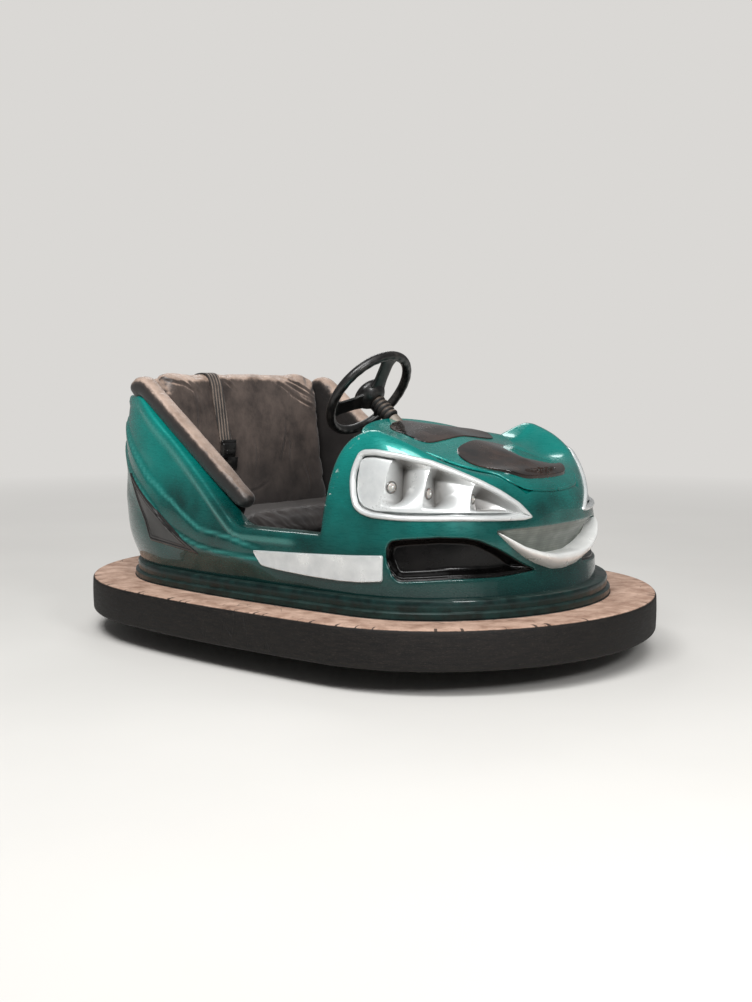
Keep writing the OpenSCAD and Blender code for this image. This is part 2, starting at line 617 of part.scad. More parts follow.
module drive_motor() {
    color(black) translate([pivot_x, motor_y, drive_d / 2]) rotate([-90, 0, 0]) difference() {
        cylinder(h = motor_len, d = motor_d);
        translate([0, 0, -1]) cylinder(h = 30, r = 14);
    }
}
drive_tread = 34;
rear_tread = 30;
module drive_hub() {
    color(steel) translate([pivot_x, 0, drive_d / 2]) rotate([-90, 0, 0]) {
        translate([0, 0, -drive_w / 2 - 30]) cylinder(h = drive_w + 60, r = 12);
        translate([0, 0, -drive_w / 2 + 4]) cylinder(h = drive_w - 8, r = drive_d / 2 - drive_tread);
    }
}
module tyre(d, w, inner) {
    rotate([-90, 0, 0]) rotate_extrude() polygon([[inner, -w / 2 + 4], [inner, w / 2 - 4],
        [d / 2 - 8, w / 2], [d / 2, w / 2 - 8], [d / 2, -w / 2 + 8], [d / 2 - 8, -w / 2]]);
}
module drive_tyre() {
    color(rubber) translate([pivot_x, 0, drive_d / 2]) tyre(drive_d, drive_w, drive_d / 2 - drive_tread);
}
rear_pin_r = 10;
module rear_axle(side) {
    bracket_t = 16;
    pin = (rear_track + rear_w) / 2 - rail_out;
    color(steel) on_side(side) {
        translate([-rear_x - 35, rail_out, rear_d / 2 - 24]) cube([70, bracket_t, floor_z - rear_d / 2 + 24]);
        translate([-rear_x, rail_out, rear_d / 2]) rotate([-90, 0, 0]) {
            cylinder(h = pin + 14, r = rear_pin_r);
            translate([0, 0, pin + 4]) cylinder(h = 8, r = 17, $fn = 6);
        }
    }
}
module rear_hub(side) {
    color(steel) on_side(side) translate([-rear_x, rear_track / 2, rear_d / 2]) rotate([-90, 0, 0])
        difference() {
            translate([0, 0, -rear_w / 2 - 2]) cylinder(h = rear_w + 4, r = rear_d / 2 - rear_tread);
            translate([0, 0, -rear_w]) cylinder(h = 2 * rear_w, r = rear_pin_r + run_gap);
        }
}
module rear_tyre(side) {
    color(rubber) on_side(side) translate([-rear_x, rear_track / 2, rear_d / 2])
        tyre(rear_d, rear_w, rear_d / 2 - rear_tread);
}

box_x0 = tail_x + 320;
box_x1 = tail_x + 770;
module seat_box() {
    t = seat_box_t;
    long = box_x1 - box_x0;
    color(black) {
        difference() {
            translate([box_x0, -seat_box_w / 2, box_z]) cube([long, seat_box_w, seat_box_h]);
            translate([box_x0 + t, -seat_box_w / 2 + t, box_z - 1])
                cube([long - 2 * t, seat_box_w - 2 * t, seat_box_h + 1 - t]);
        }
        translate([box_x0, 0, seat_z - t]) linear_extrude(t) intersection() {
            translate([0, -seat_half]) square([long, 2 * seat_half]);
            translate([-box_x0, 0]) polygon(outline(floor_inset));
        }
    }
}
battery_size = [260, 340, 120];
module battery() {
    color("gray") translate([box_x1 - 70 - battery_size.x, -battery_size.y / 2, box_z]) cube(battery_size);
}
// Side view of the back cushion: its top roll, and its front and back foot
back_foot_x = cockpit_rear_x + 128;
back_rear_x = cockpit_rear_x + 8;
module back_profile() {
    hull() {
        translate([back_foot_x, seat_z + seat_gap + 12]) circle(12, $fn = 32);
        translate([back_rear_x + 10, seat_z + seat_gap + 10]) circle(10, $fn = 32);
        translate([back_rear_x + roll_r + 5, back_top_z - roll_r]) circle(roll_r, $fn = 32);
    }
}
module upright(width) { rotate([90, 0, 0]) translate([0, 0, -width / 2]) linear_extrude(width) children(); }
module seat_base() {
    rear = back_foot_x + 14;
    front = box_x1 + 15;
    color(vinyl) hull() for (x = [rear + 25, front - 25], y = [25 - seat_half, seat_half - 25])
        translate([x, y, seat_z + seat_gap]) cylinder(h = cushion_t, r = 25, $fn = 32);
}
module seat_back() { color(vinyl) upright(2 * seat_half) back_profile(); }
// The roll lies on the sloping rim, and the pad under it lines the side of the cockpit
rim_tilt = atan2(rear_rim_z - sill_z, sill_rear_x - slope_x);
module seat_side(side) {
    lift = (roll_r + seat_gap) / cos(rim_tilt) + 1;
    top_x = back_rear_x + roll_r + 24;
    low_x = sill_rear_x;
    roll_y = cockpit_half - 8;
    roll_line = [[top_x, rear_rim_z + lift], [slope_x, rear_rim_z + lift], [low_x, sill_z + lift]];
    pad_r = 18;
    // A ball of 12 facets reaches its radius times the cosine of half a facet
    pad_y = cockpit_half - pad_r * cos(15) - seat_gap;
    pad_x = cockpit_rear_x + cockpit_r + 8;
    color(vinyl) on_side(side) {
        for (k = [0, 1]) hull() for (p = [roll_line[k], roll_line[k + 1]])
            translate([p.x, roll_y, p.y]) sphere(roll_r, $fn = 16);
        hull() {
            translate([pad_x, pad_y, rear_rim_z - tan(rim_tilt) * (pad_x - slope_x)]) sphere(pad_r, $fn = 12);
            translate([low_x, pad_y, sill_z]) sphere(pad_r, $fn = 12);
            translate([pad_x, pad_y, seat_z + 30]) sphere(pad_r, $fn = 12);
            translate([low_x - 40, pad_y, seat_z + 30]) sphere(pad_r, $fn = 12);
        }
    }
}
belt_y = -115;
belt_w = 48;
belt_t = 3;
belt_low_z = 588;
module belt_strap() {
    color(black) translate([0, belt_y, 0]) upright(belt_w) intersection() {
        difference() {
            offset(delta = seat_gap + belt_t) back_profile();
            offset(delta = seat_gap) back_profile();
        }
        union() {
            translate([back_rear_x - 20, rear_rim_z + 30]) square([60, beyond]);
            translate([back_rear_x + 20, belt_low_z]) square([2 * roll_r + 138, beyond]);
        }
    }
}
// The buckle hangs from the strap's end, against the cushion
module belt_buckle() {
    color(black) translate([0, belt_y, 0]) upright(belt_w + 14) intersection() {
        difference() {
            offset(delta = seat_gap + 18) back_profile();
            offset(delta = seat_gap) back_profile();
        }
        translate([back_rear_x + 20, belt_low_z - 52]) square([200, 52 - seat_gap]);
    }
}
pedal_x = nose_x - 800;
pedal_y = 315 - half_wid;
module pedal() {
    color(steel) translate([pedal_x, pedal_y + 50, box_z]) upright(100) polygon([[0, 0], [150, 0], [150, 6],
        [144, 6], [144, 48], [138, 55], [6, 6], [0, 6]]);
}

module on_column() { translate([wheel_x, 0, wheel_z]) rotate([0, 90 + column_tilt, 0]) children(); }
rim_r = (wheel_d - wheel_grip) / 2;
module steering_rim() {
    color(black) on_column() rotate_extrude() translate([rim_r, 0]) circle(d = wheel_grip, $fn = 48);
}
hub_low = 38;
spoke_w = 40;
module steering_hub() {
    color(black) on_column() difference() {
        union() {
            translate([0, 0, -14]) cylinder(h = 10, r = 44);
            translate([0, 0, -5]) cylinder(h = hub_low + 5, r = 32);
            for (a = [60, 180, 300]) rotate(a)
                translate([26, -spoke_w / 2, -7]) cube([rim_r - 26, spoke_w, 9]);
        }
        rotate_extrude() translate([rim_r, 0]) circle(d = wheel_grip, $fn = 48);
        translate([0, 0, -2]) cylinder(h = 60, d = shaft_d);
    }
}
shaft_len = 560;
module steering_shaft() {
    color(steel) on_column() translate([0, 0, -2]) cylinder(h = shaft_len, d = shaft_d);
}
// The ribbed boot is clamped on the shaft and hides the top of the column tube
boot_len = 76;
boot_rings = 5;
tube_d = 38;
module steering_boot() {
    step = boot_len / boot_rings;
    color(black) on_column() translate([0, 0, hub_low + seat_gap]) difference() {
        union() {
            cylinder(h = boot_len, r = 20);
            for (k = [0:boot_rings - 1]) translate([0, 0, k * step]) cylinder(h = 0.6 * step, r = 25);
        }
        translate([0, 0, -1]) cylinder(h = boot_len + 2, d = shaft_d);
    }
}
tube_start = hub_low + boot_len + 6;
bearing_at = 500;
module steering_column() {
    foot_x = wheel_x + bearing_at * cos(column_tilt);
    color(steel) difference() {
        union() {
            translate([foot_x - 25, -20, box_z + cover_h])
                cube([40, 40, wheel_z - bearing_at * sin(column_tilt) - box_z - cover_h]);
            on_column() translate([0, 0, bearing_at - 16]) cylinder(h = 32, r = 24);
            on_column() translate([0, 0, tube_start]) cylinder(h = bearing_at - tube_start, d = tube_d);
        }
        on_column() cylinder(h = shaft_len + 10, r = shaft_d / 2 + run_gap);
    }
}

bumper_ring();
bumper_rim();
chassis_frame();
floor_tray();
drive_cover();
skirt();
body_shell();
bonnet();
hood_panels();
lamp_cluster("right");  // lamp_cluster_right
lamp_cluster("left");  // lamp_cluster_left
lamps();
intakes();
sill_panels();
mouth_lip();
mouth_insert();
vents();
seat_box();
battery();
seat_base();
seat_back();
seat_side("right");  // seat_side_right
seat_side("left");  // seat_side_left
belt_strap();
belt_buckle();
pedal();
steering_rim();
steering_hub();
steering_shaft();
steering_boot();
steering_column();
kingpin_bearing();
drive_fork();
drive_motor();
drive_hub();
drive_tyre();
rear_axle("right");  // rear_axle_right
rear_axle("left");  // rear_axle_left
rear_hub("right");  // rear_hub_right
rear_hub("left");  // rear_hub_left
rear_tyre("right");  // rear_tyre_right
rear_tyre("left");  // rear_tyre_left
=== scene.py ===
import math
import bpy
import numpy as np
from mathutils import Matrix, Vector


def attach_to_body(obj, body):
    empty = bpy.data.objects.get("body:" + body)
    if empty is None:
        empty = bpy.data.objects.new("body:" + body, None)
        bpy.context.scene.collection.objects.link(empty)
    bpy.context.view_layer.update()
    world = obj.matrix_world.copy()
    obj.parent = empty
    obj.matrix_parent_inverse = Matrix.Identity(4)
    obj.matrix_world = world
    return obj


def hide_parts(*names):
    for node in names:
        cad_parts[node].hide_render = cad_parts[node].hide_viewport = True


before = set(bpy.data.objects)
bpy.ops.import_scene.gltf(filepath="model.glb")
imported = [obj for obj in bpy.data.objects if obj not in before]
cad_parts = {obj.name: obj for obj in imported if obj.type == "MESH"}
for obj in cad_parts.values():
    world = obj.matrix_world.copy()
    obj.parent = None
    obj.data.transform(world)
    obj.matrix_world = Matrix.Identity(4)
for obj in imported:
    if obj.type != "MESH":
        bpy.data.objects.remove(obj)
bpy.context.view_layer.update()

print("frame loaded:", len(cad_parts), "nodes")

# The car's driving sizes in metres, the same as in the CAD part
car = {
    "ringLen": 1.84, "ringWid": 1.29, "ringZ": 0.069, "ringH": 0.105, "ringW": 0.13,
    "frontSide": 6.8, "frontCorner": 0.51, "frontSideEnd": 86.7,
    "rearSide": 2.95, "rearCorner": 0.6, "rearSideEnd": 82.5,
    "footZ": 0.222, "sillZ": 0.372, "rearRimZ": 0.735, "sillRearX": -0.046, "fenderX": 0.256, "slopeX": -0.512,
    "cockpitHalf": 0.415, "cockpitRearX": -0.59, "cockpitFrontX": 0.29, "cockpitR": 0.09,
    "wheelX": 0.036, "wheelZ": 0.74, "columnTilt": 38.8,
}


# General tools

def clearSelection():
    if bpy.context.object and bpy.context.object.mode != "OBJECT":
        bpy.ops.object.mode_set(mode="OBJECT")
    bpy.ops.object.select_all(action="DESELECT")


def pick(piece):
    clearSelection()
    piece.select_set(True)
    bpy.context.view_layer.objects.active = piece


def coords(piece):
    co = np.empty(len(piece.data.vertices) * 3)
    piece.data.vertices.foreach_get("co", co)
    return co.reshape(-1, 3)


def setCoords(piece, co):
    piece.data.vertices.foreach_set("co", np.asarray(co, float).ravel())
    piece.data.update()


def meshEdit(piece, *steps):
    pick(piece)
    bpy.ops.object.mode_set(mode="EDIT")
    for step in steps:
        step()
    bpy.ops.object.mode_set(mode="OBJECT")


def turnOutward(piece):
    meshEdit(piece, lambda: bpy.ops.mesh.select_all(action="SELECT"),
             lambda: bpy.ops.mesh.normals_make_consistent(inside=False))


def mergeClose(piece, gap=0.00005, outward=True):
    meshEdit(piece, lambda: bpy.ops.mesh.select_all(action="SELECT"),
             lambda: bpy.ops.mesh.remove_doubles(threshold=gap))
    if outward:
        turnOutward(piece)
    return piece


# Closes each open end of a swept form with one face
def closeEnds(piece):
    meshEdit(piece, lambda: bpy.ops.mesh.select_all(action="DESELECT"), bpy.ops.mesh.select_non_manifold,
             bpy.ops.mesh.edge_face_add)


# Adds a modifier with its settings and applies it
def modified(piece, kind, **settings):
    pick(piece)
    bpy.ops.object.modifier_add(type=kind)
    for key, value in settings.items():
        setattr(piece.modifiers[-1], key, value)
    bpy.ops.object.modifier_apply(modifier=piece.modifiers[-1].name)


def smooth(piece, angle=35):
    pick(piece)
    bpy.ops.object.shade_smooth_by_angle(angle=math.radians(angle))
    return piece


# A grid primitive whose points are moved to a table of places: rows, columns, xyz
def gridSheet(name, points):
    rows, cols = points.shape[:2]
    clearSelection()
    bpy.ops.mesh.primitive_grid_add(x_subdivisions=cols - 1, y_subdivisions=rows - 1, size=1)
    piece = bpy.context.object
    piece.name = name
    piece.data.name = name
    setCoords(piece, points.reshape(-1, 3))
    return piece


# Joins pieces into the first one
def joined(name, pieces):
    clearSelection()
    for p in pieces:
        p.select_set(True)
    bpy.context.view_layer.objects.active = pieces[0]
    if len(pieces) > 1:
        bpy.ops.object.join()
    pieces[0].name = name
    pieces[0].data.name = name
    return pieces[0]


def mirrored(piece, name):
    pick(piece)
    bpy.ops.object.duplicate()
    other = bpy.context.object
    co = coords(other)
    co[:, 1] *= -1
    setCoords(other, co)
    other.name = name
    other.data.name = name
    meshEdit(other, lambda: bpy.ops.mesh.select_all(action="SELECT"), bpy.ops.mesh.flip_normals)
    return other


# A piece and its mirrored twin on the car's other side, as one
def pairOf(name, left):
    return joined(name, [left, mirrored(left, name + "Right")])


# A number for each point of a piece, which its material reads by name
def setMask(piece, name, values):
    attribute = piece.data.attributes.new(name, "FLOAT", "POINT")
    attribute.data.foreach_set("value", np.zeros(len(piece.data.vertices)) + np.ravel(values))
    piece.data.update()


# Edges that only one face uses, each as a pair of point numbers
def openEdges(piece):
    used = {}
    for face in piece.data.polygons:
        for key in face.edge_keys:
            used[key] = used.get(key, 0) + 1
    return [key for key, n in used.items() if n == 1]


# Extrudes a border once for each ring of places, which are in the border's order
def extrudeRings(piece, border, edges, rings):
    pick(piece)
    bpy.ops.object.mode_set(mode="EDIT")
    bpy.ops.mesh.select_mode(type="EDGE")
    bpy.ops.mesh.select_all(action="DESELECT")
    bpy.ops.object.mode_set(mode="OBJECT")
    chosen = {tuple(sorted(edge)) for edge in edges}
    for e in piece.data.edges:
        e.select = tuple(sorted(e.vertices)) in chosen
    for v in border:
        piece.data.vertices[v].select = True
    place = {v: k for k, v in enumerate(border)}
    current = {v: v for v in border}
    for ring in rings:
        before = len(piece.data.vertices)
        bpy.ops.object.mode_set(mode="EDIT")
        bpy.ops.mesh.extrude_region_move()
        bpy.ops.object.mode_set(mode="OBJECT")
        back = {v: k for k, v in current.items()}
        current = {}
        for e in piece.data.edges:
            a, b = sorted(e.vertices)
            if b >= before > a and a in back:
                current[back[a]] = b
        co = coords(piece)
        for source, vertex in current.items():
            co[vertex] = ring[place[source]]
        setCoords(piece, co)
    return piece


def unit(v):
    return v / np.maximum(np.linalg.norm(v, axis=-1, keepdims=True), 1e-12)


def ease(x):
    x = np.clip(x, 0, 1)
    return x * x * (3 - 2 * x)


# Length along a line of points, at each of them
def runOf(line):
    return np.concatenate([[0], np.cumsum(np.linalg.norm(np.diff(line, axis=0), axis=1))])


# Shares from 0 to 1 that crowd towards both ends
def crowd(count, amount=0.9):
    a = np.linspace(-1, 1, count)
    return 0.5 + 0.5 * np.sin(a * math.pi / 2 * amount) / math.sin(math.pi / 2 * amount)


# The ring's plan, the same arcs as in the CAD part

def endArcs(sideR, cornerR, sideEnd):
    a = math.radians(sideEnd)
    sideC = np.array([0, car["ringWid"] / 2 - sideR])
    cornerC = sideC + (sideR - cornerR) * np.array([math.cos(a), math.sin(a)])
    short = car["ringLen"] / 2 - cornerR - cornerC[0]
    more = (short * short + cornerC[1] ** 2) / (2 * short)
    return [(sideR, sideC, sideEnd), (cornerR, cornerC, math.degrees(math.asin(cornerC[1] / more))),
            (cornerR + more, np.array([car["ringLen"] / 2 - cornerR - more, 0]), 0)]


frontArcs = endArcs(car["frontSide"], car["frontCorner"], car["frontSideEnd"])
rearArcs = endArcs(car["rearSide"], car["rearCorner"], car["rearSideEnd"])


# Points of the plan where the outward normal turns phi degrees from the nose, moved in by inset
def plan(phi, inset):
    phi, inset = np.broadcast_arrays(np.asarray(phi, float), np.asarray(inset, float))
    front = phi <= 90
    f = np.where(front, phi, 180 - phi)
    x, y = np.zeros(f.shape), np.zeros(f.shape)
    for arcs, here in ((frontArcs, front), (rearArcs, ~front)):
        for k, (r, c, end) in enumerate(arcs):
            m = here & (f >= end) & ((f < arcs[k - 1][2]) if k else True)
            x = np.where(m, c[0] + (r - inset) * np.cos(np.radians(f)), x)
            y = np.where(m, c[1] + (r - inset) * np.sin(np.radians(f)), y)
    return np.where(front, x, -x), y


# The moulded body's surface

# Stations round the body from the nose to the tail, in millimetres, as in the CAD part:
# phi, foot, belly, waist, chest, crest, crestZ, valley, valleyZ, spineX, spineZ
bodyRows = np.array([
    [0, 178, 205, 204, 212, 250, 512, 290, 532, 600, 550],
    [14, 177, 196, 194, 206, 246, 517, 300, 535, 585, 555],
    [28, 174, 180, 180, 200, 240, 530, 320, 540, 560, 564],
    [41.5, 170, 172, 176, 196, 240, 560, 335, 551, 520, 577],
    [54, 168, 170, 176, 192, 244, 592, 350, 566, 460, 592],
    [68, 167, 168, 176, 190, 250, 622, 360, 580, 400, 605],
    [82, 166, 166, 175, 188, 250, 642, 365, 592, 330, 617],
    [86.7, 164, 163, 172, 186, 250, 648, 368, 602, 250, 628],
    [88.2, 165, 160, 168, 182, 250, 652, 370, 614, 130, 640],
    [90, 162, 156, 164, 180, 240, 700, 372, 700, 0, 700],
    [95, 160, 150, 156, 170, 215, 770, 360, 780, -250, 790],
    [102, 156, 142, 144, 156, 190, 780, 360, 790, -370, 800],
    [118, 152, 128, 122, 126, 160, 780, 360, 790, -450, 800],
    [136, 148, 116, 106, 106, 142, 780, 360, 790, -520, 800],
    [158, 150, 118, 108, 108, 142, 780, 360, 790, -560, 800],
    [180, 152, 122, 112, 112, 144, 780, 360, 790, -580, 800]], float)
lastRow = len(bodyRows) - 1
levelZ = [car["footZ"], 0.3, 0.38, 0.47]


# Smooth curve through values along their second last axis, at u
def bend(values, u):
    n = values.shape[-2] - 1
    i = np.clip(np.floor(u).astype(int), 0, n - 1)
    s = (u - i)[..., None]

    def take(k):
        return np.take_along_axis(values, np.clip(k, 0, n)[..., None, None], axis=-2)[..., 0, :]
    a, b, c, d = take(i - 1), take(i), take(i + 1), take(i + 2)
    return b + 0.5 * s * (c - a + s * (2 * a - 5 * b + 4 * c - d + s * (3 * (b - c) + d - a)))


def bodyExact(t, s):
    row = bend(np.broadcast_to(bodyRows, t.shape + bodyRows.shape), t)
    pts = np.zeros(t.shape + (7, 3))
    for k, col in enumerate((1, 2, 3, 4, 5, 7)):
        x, y = plan(row[..., 0], row[..., col] / 1000)
        z = levelZ[k] if k < 4 else row[..., 6 if k == 4 else 8] / 1000
        pts[..., k, 0], pts[..., k, 1], pts[..., k, 2] = x, y, z
    pts[..., 6, 0], pts[..., 6, 2] = row[..., 9] / 1000, row[..., 10] / 1000
    p = bend(pts, s)
    p[..., 1] = np.maximum(p[..., 1], 0)
    return p


# A dense table of the surface, evened out a little so that reflections run smoothly over the stations
tableT, tableS = 900, 240
tGrid, sGrid = np.meshgrid(np.linspace(0, lastRow, tableT), np.linspace(0, 6, tableS), indexing="ij")
bodyTable = bodyExact(tGrid, sGrid)


def evened(table, axis, sigma, oddStart=None, oddEnd=None):
    n = int(3 * sigma)
    kernel = np.exp(-0.5 * (np.arange(-n, n + 1) / sigma) ** 2)
    kernel /= kernel.sum()
    work = np.moveaxis(table, axis, 0)
    head, tail = work[1:n + 1][::-1].copy(), work[-n - 1:-1][::-1].copy()
    if oddStart is not None:
        head[..., oddStart] *= -1
    else:
        head = 2 * work[:1] - head
    if oddEnd is not None:
        tail[..., oddEnd] *= -1
    else:
        tail = 2 * work[-1:] - tail
    long = np.concatenate([head, work, tail])
    out = sum(k * long[i:i + len(work)] for i, k in enumerate(kernel))
    return np.moveaxis(out, 0, axis)


bodyTable = evened(bodyTable, 0, 14, oddStart=1, oddEnd=1)
bodyTable = evened(bodyTable, 1, 5, oddEnd=1)
bodyTable[..., 1] = np.maximum(bodyTable[..., 1], 0)
bodyTable[:, 0, 2] = car["footZ"]


def bodyPoint(t, s):
    a = np.clip(np.asarray(t, float) / lastRow * (tableT - 1), 0, tableT - 1.001)
    b = np.clip(np.asarray(s, float) / 6 * (tableS - 1), 0, tableS - 1.001)
    i, j = a.astype(int), b.astype(int)
    u, v = (a - i)[..., None], (b - j)[..., None]
    return ((1 - u) * ((1 - v) * bodyTable[i, j] + v * bodyTable[i, j + 1])
            + u * ((1 - v) * bodyTable[i + 1, j] + v * bodyTable[i + 1, j + 1]))


# Two tangents and the outward normal of the left half
def bodyFrame(t, s, h=0.03):
    dt = (bodyPoint(np.minimum(t + h, lastRow), s) - bodyPoint(np.maximum(t - h, 0), s)) / (2 * h)
    ds = (bodyPoint(t, np.minimum(s + h, 6)) - bodyPoint(t, np.maximum(s - h, 0))) / (2 * h)
    normal = unit(np.cross(dt, ds))
    return dt, ds, normal


def levelAt(t, z):
    low, high = np.zeros(np.shape(t)), np.full(np.shape(t), 4.0)
    for _ in range(22):
        mid = (low + high) / 2
        below = bodyPoint(t, mid)[..., 2] < z
        low, high = np.where(below, mid, low), np.where(below, high, mid)
    return (low + high) / 2


# A place on the outer wall by station and height, moved out along the wall's normal
def wallPoint(t, z, out=0.0):
    t, z, out = np.broadcast_arrays(*(np.asarray(v, float) for v in (t, z, out)))
    side = np.where(t < 0, -1.0, 1.0)
    s = levelAt(np.abs(t), z)
    p = bodyPoint(np.abs(t), s) + bodyFrame(np.abs(t), s)[2] * out[..., None]
    p[..., 1] *= side
    return p


# Height of the body's top over a place in plan
def topAt(x, y):
    x, y = np.broadcast_arrays(np.asarray(x, float), np.maximum(np.abs(y), 0.002))
    tLow, tHigh = np.zeros(x.shape), np.full(x.shape, 9.0)
    for _ in range(16):
        t = (tLow + tHigh) / 2
        low, high = np.full(x.shape, 3.0), np.full(x.shape, 6.0)
        for _ in range(14):
            s = (low + high) / 2
            outer = bodyPoint(t, s)[..., 1] > y
            low, high = np.where(outer, s, low), np.where(outer, high, s)
        p = bodyPoint(t, (low + high) / 2)
        ahead = p[..., 0] > x
        tLow, tHigh = np.where(ahead, t, tLow), np.where(ahead, tHigh, t)
    return p[..., 2]


print("body surface ready")


# Materials

# An sRGB hex colour as linear values
def hexColor(code):
    parts = [int(code[i:i + 2], 16) / 255 for i in (0, 2, 4)]
    return tuple((c / 12.92 if c <= 0.04045 else ((c + 0.055) / 1.055) ** 2.4) for c in parts) + (1,)


# Gives a node's inputs, by name or number, as values, hex colours or sockets to link
def fillInputs(tree, node, inputs):
    for key, value in inputs.items():
        socket = node.inputs[int(key[1:]) if key[1:].isdigit() else key.replace("_", " ")]
        if isinstance(value, bpy.types.NodeSocket):
            tree.links.new(value, socket)
        else:
            socket.default_value = hexColor(value) if isinstance(value, str) else value


# Adds a node with its settings and its inputs
def addNode(tree, kind, settings=None, **inputs):
    node = tree.nodes.new("ShaderNode" + kind)
    for key, value in (settings or {}).items():
        if key == "stops":
            ramp = node.color_ramp
            while len(ramp.elements) < len(value):
                ramp.elements.new(0.5)
            for element, (place, grey) in zip(ramp.elements, value):
                element.position = place
                element.color = (grey, grey, grey, 1)
        else:
            setattr(node, key, value)
    fillInputs(tree, node, inputs)
    return node


# A finish in the making: its shader, and the patterns laid on it in the car's own space
class Finish:
    def __init__(self, name, **look):
        self.material = bpy.data.materials.new(name)
        self.material.use_nodes = True
        self.tree = self.material.node_tree
        self.shader = self.tree.nodes["Principled BSDF"]
        self.space = self.add("TexCoord", "Object")
        fillInputs(self.tree, self.shader, {"Coat_Roughness": 0.03, "IOR": 1.5, **look})

    # adds a node and gives one of its outputs
    def add(self, kind, out=0, settings=None, **inputs):
        return addNode(self.tree, kind, settings, **inputs).outputs[out]

    # irregular patches of a size in millimetres, squeezed along the axes by the given factors
    def patches(self, size, detail=3, rough=0.55, squeeze=None, **more):
        place = self.add("Mapping", Vector=self.space, Scale=squeeze) if squeeze else self.space
        return self.add("TexNoise", "Fac", Vector=place, Scale=1000 / size, Detail=detail, Roughness=rough, **more)

    # how far the surface faces up, made ragged by a pattern with its middle taken off
    def facing(self, pattern=None, ragged=0.0, middle=0.0):
        up = self.add("SeparateXYZ", "Z", Vector=self.add("NewGeometry", "Normal"))
        if pattern is None:
            return up
        if middle:
            pattern = self.add("Math", 0, {"operation": "SUBTRACT"}, i0=pattern, i1=middle)
        return self.add("Math", 0, {"operation": "ADD"}, i0=up, i1=self.share(pattern, ragged))

    # the product of some factors: numbers, outputs, or an output with stops of (its value, the share there)
    def share(self, *factors):
        result = None
        for factor in factors:
            if isinstance(factor, tuple):
                factor = self.add("ValToRGB", "Color", {"stops": factor[1:]}, Fac=factor[0])
            if result is not None:
                factor = self.add("Math", 0, {"operation": "MULTIPLY"}, i0=result, i1=factor)
            result = factor
        return result

    # colours laid over each other, each followed by the factors of its share
    def coats(self, tone, *coats):
        for color, *factors in coats:
            tone = self.add("Mix", 2, {"data_type": "RGBA"}, i0=self.share(*factors), i6=tone, i7=color)
        return tone

    # heights laid over each other, each with its depth in millimetres and its strength
    def relief(self, *heights):
        below = {}
        for height, depth, strength in heights:
            below = {"Normal": self.add("Bump", Strength=strength, Distance=depth / 1000, Height=height, **below)}
        return below["Normal"]

    def done(self, **looks):
        fillInputs(self.tree, self.shader, looks)
        return self.material


def maskNamed(finish, name):
    return finish.add("Attribute", "Fac", {"attribute_name": name})


# Gel coat, moulded: deep metallic teal under a clear gloss, with fine flake, soft waviness and dust, with painted
# light towards the top and painted shade towards the bottom, and painted highlight lines along the creases and the
# rim's bead
def gelCoat():
    f = Finish("metallicTealGelCoat", Roughness=0.3, Metallic=0.3, Coat_Weight=0.65, Specular_IOR_Level=0.3)
    height = f.add("SeparateXYZ", "Z", Vector=f.space)
    scuff = f.patches(34, 8, 0.72, (1, 1, 5))
    chips = f.patches(17, 5, 0.65)
    tone = f.coats("013D39", ("057069", (f.patches(160), (0.35, 0), (0.68, 1))),
                   ("1FA39C", (f.patches(1.1, 1), (0.55, 0), (0.75, 0.35))),
                   ("3F7F7A", (scuff, (0.68, 0), (0.76, 0.2))),
                   # painted light: the teal lighter towards the top; painted shade: darker towards the bottom
                   ("0A958B", (height, (0.44, 0), (0.66, 0.75))),
                   ("012422", (height, (0.22, 0.95), (0.5, 0))),
                   # painted highlight lines along the creases and the rear rim's bead
                   ("4FA79E", maskNamed(f, "rubbed"), 0.5),
                   ("D9DED8", maskNamed(f, "chipped"), (chips, (0.615, 0), (0.63, 1))))
    wave = f.relief((f.patches(210, 1.5), 2.2, 0.35))
    peel = f.add("Bump", Strength=0.3, Distance=0.00006, Height=f.patches(9, 2), Normal=wave)
    rough = f.share((scuff, (0.45, 0.26), (0.75, 0.5)))
    return f.done(Base_Color=tone, Roughness=rough, Normal=peel, Coat_Normal=wave)


# Plain studio floor: matt, pale, with no pattern
def studioFloor():
    f = Finish("palePaperFloor", Roughness=0.85)
    tone = f.coats(stage["floor"], ("D6D4D0", (f.patches(900), (0.3, 0), (0.7, 1))))
    # far from the car the floor runs into the backdrop's colour
    distance = f.add("VectorMath", "Value", {"operation": "LENGTH"}, i0=f.space)
    far = f.add("Math", 0, {"operation": "DIVIDE"}, i0=distance, i1=10.0)
    away = f.share((far, (0.2, 0), (0.7, 1)), f.add("LightPath", "Is Camera Ray"))
    plain = f.add("Emission", Color=stage["backdrop"], Strength=1.0)
    shown = f.add("MixShader", i0=away, i1=f.shader.outputs[0], i2=plain)
    f.tree.links.new(shown, f.tree.nodes["Material Output"].inputs["Surface"])
    return f.done(Base_Color=tone)


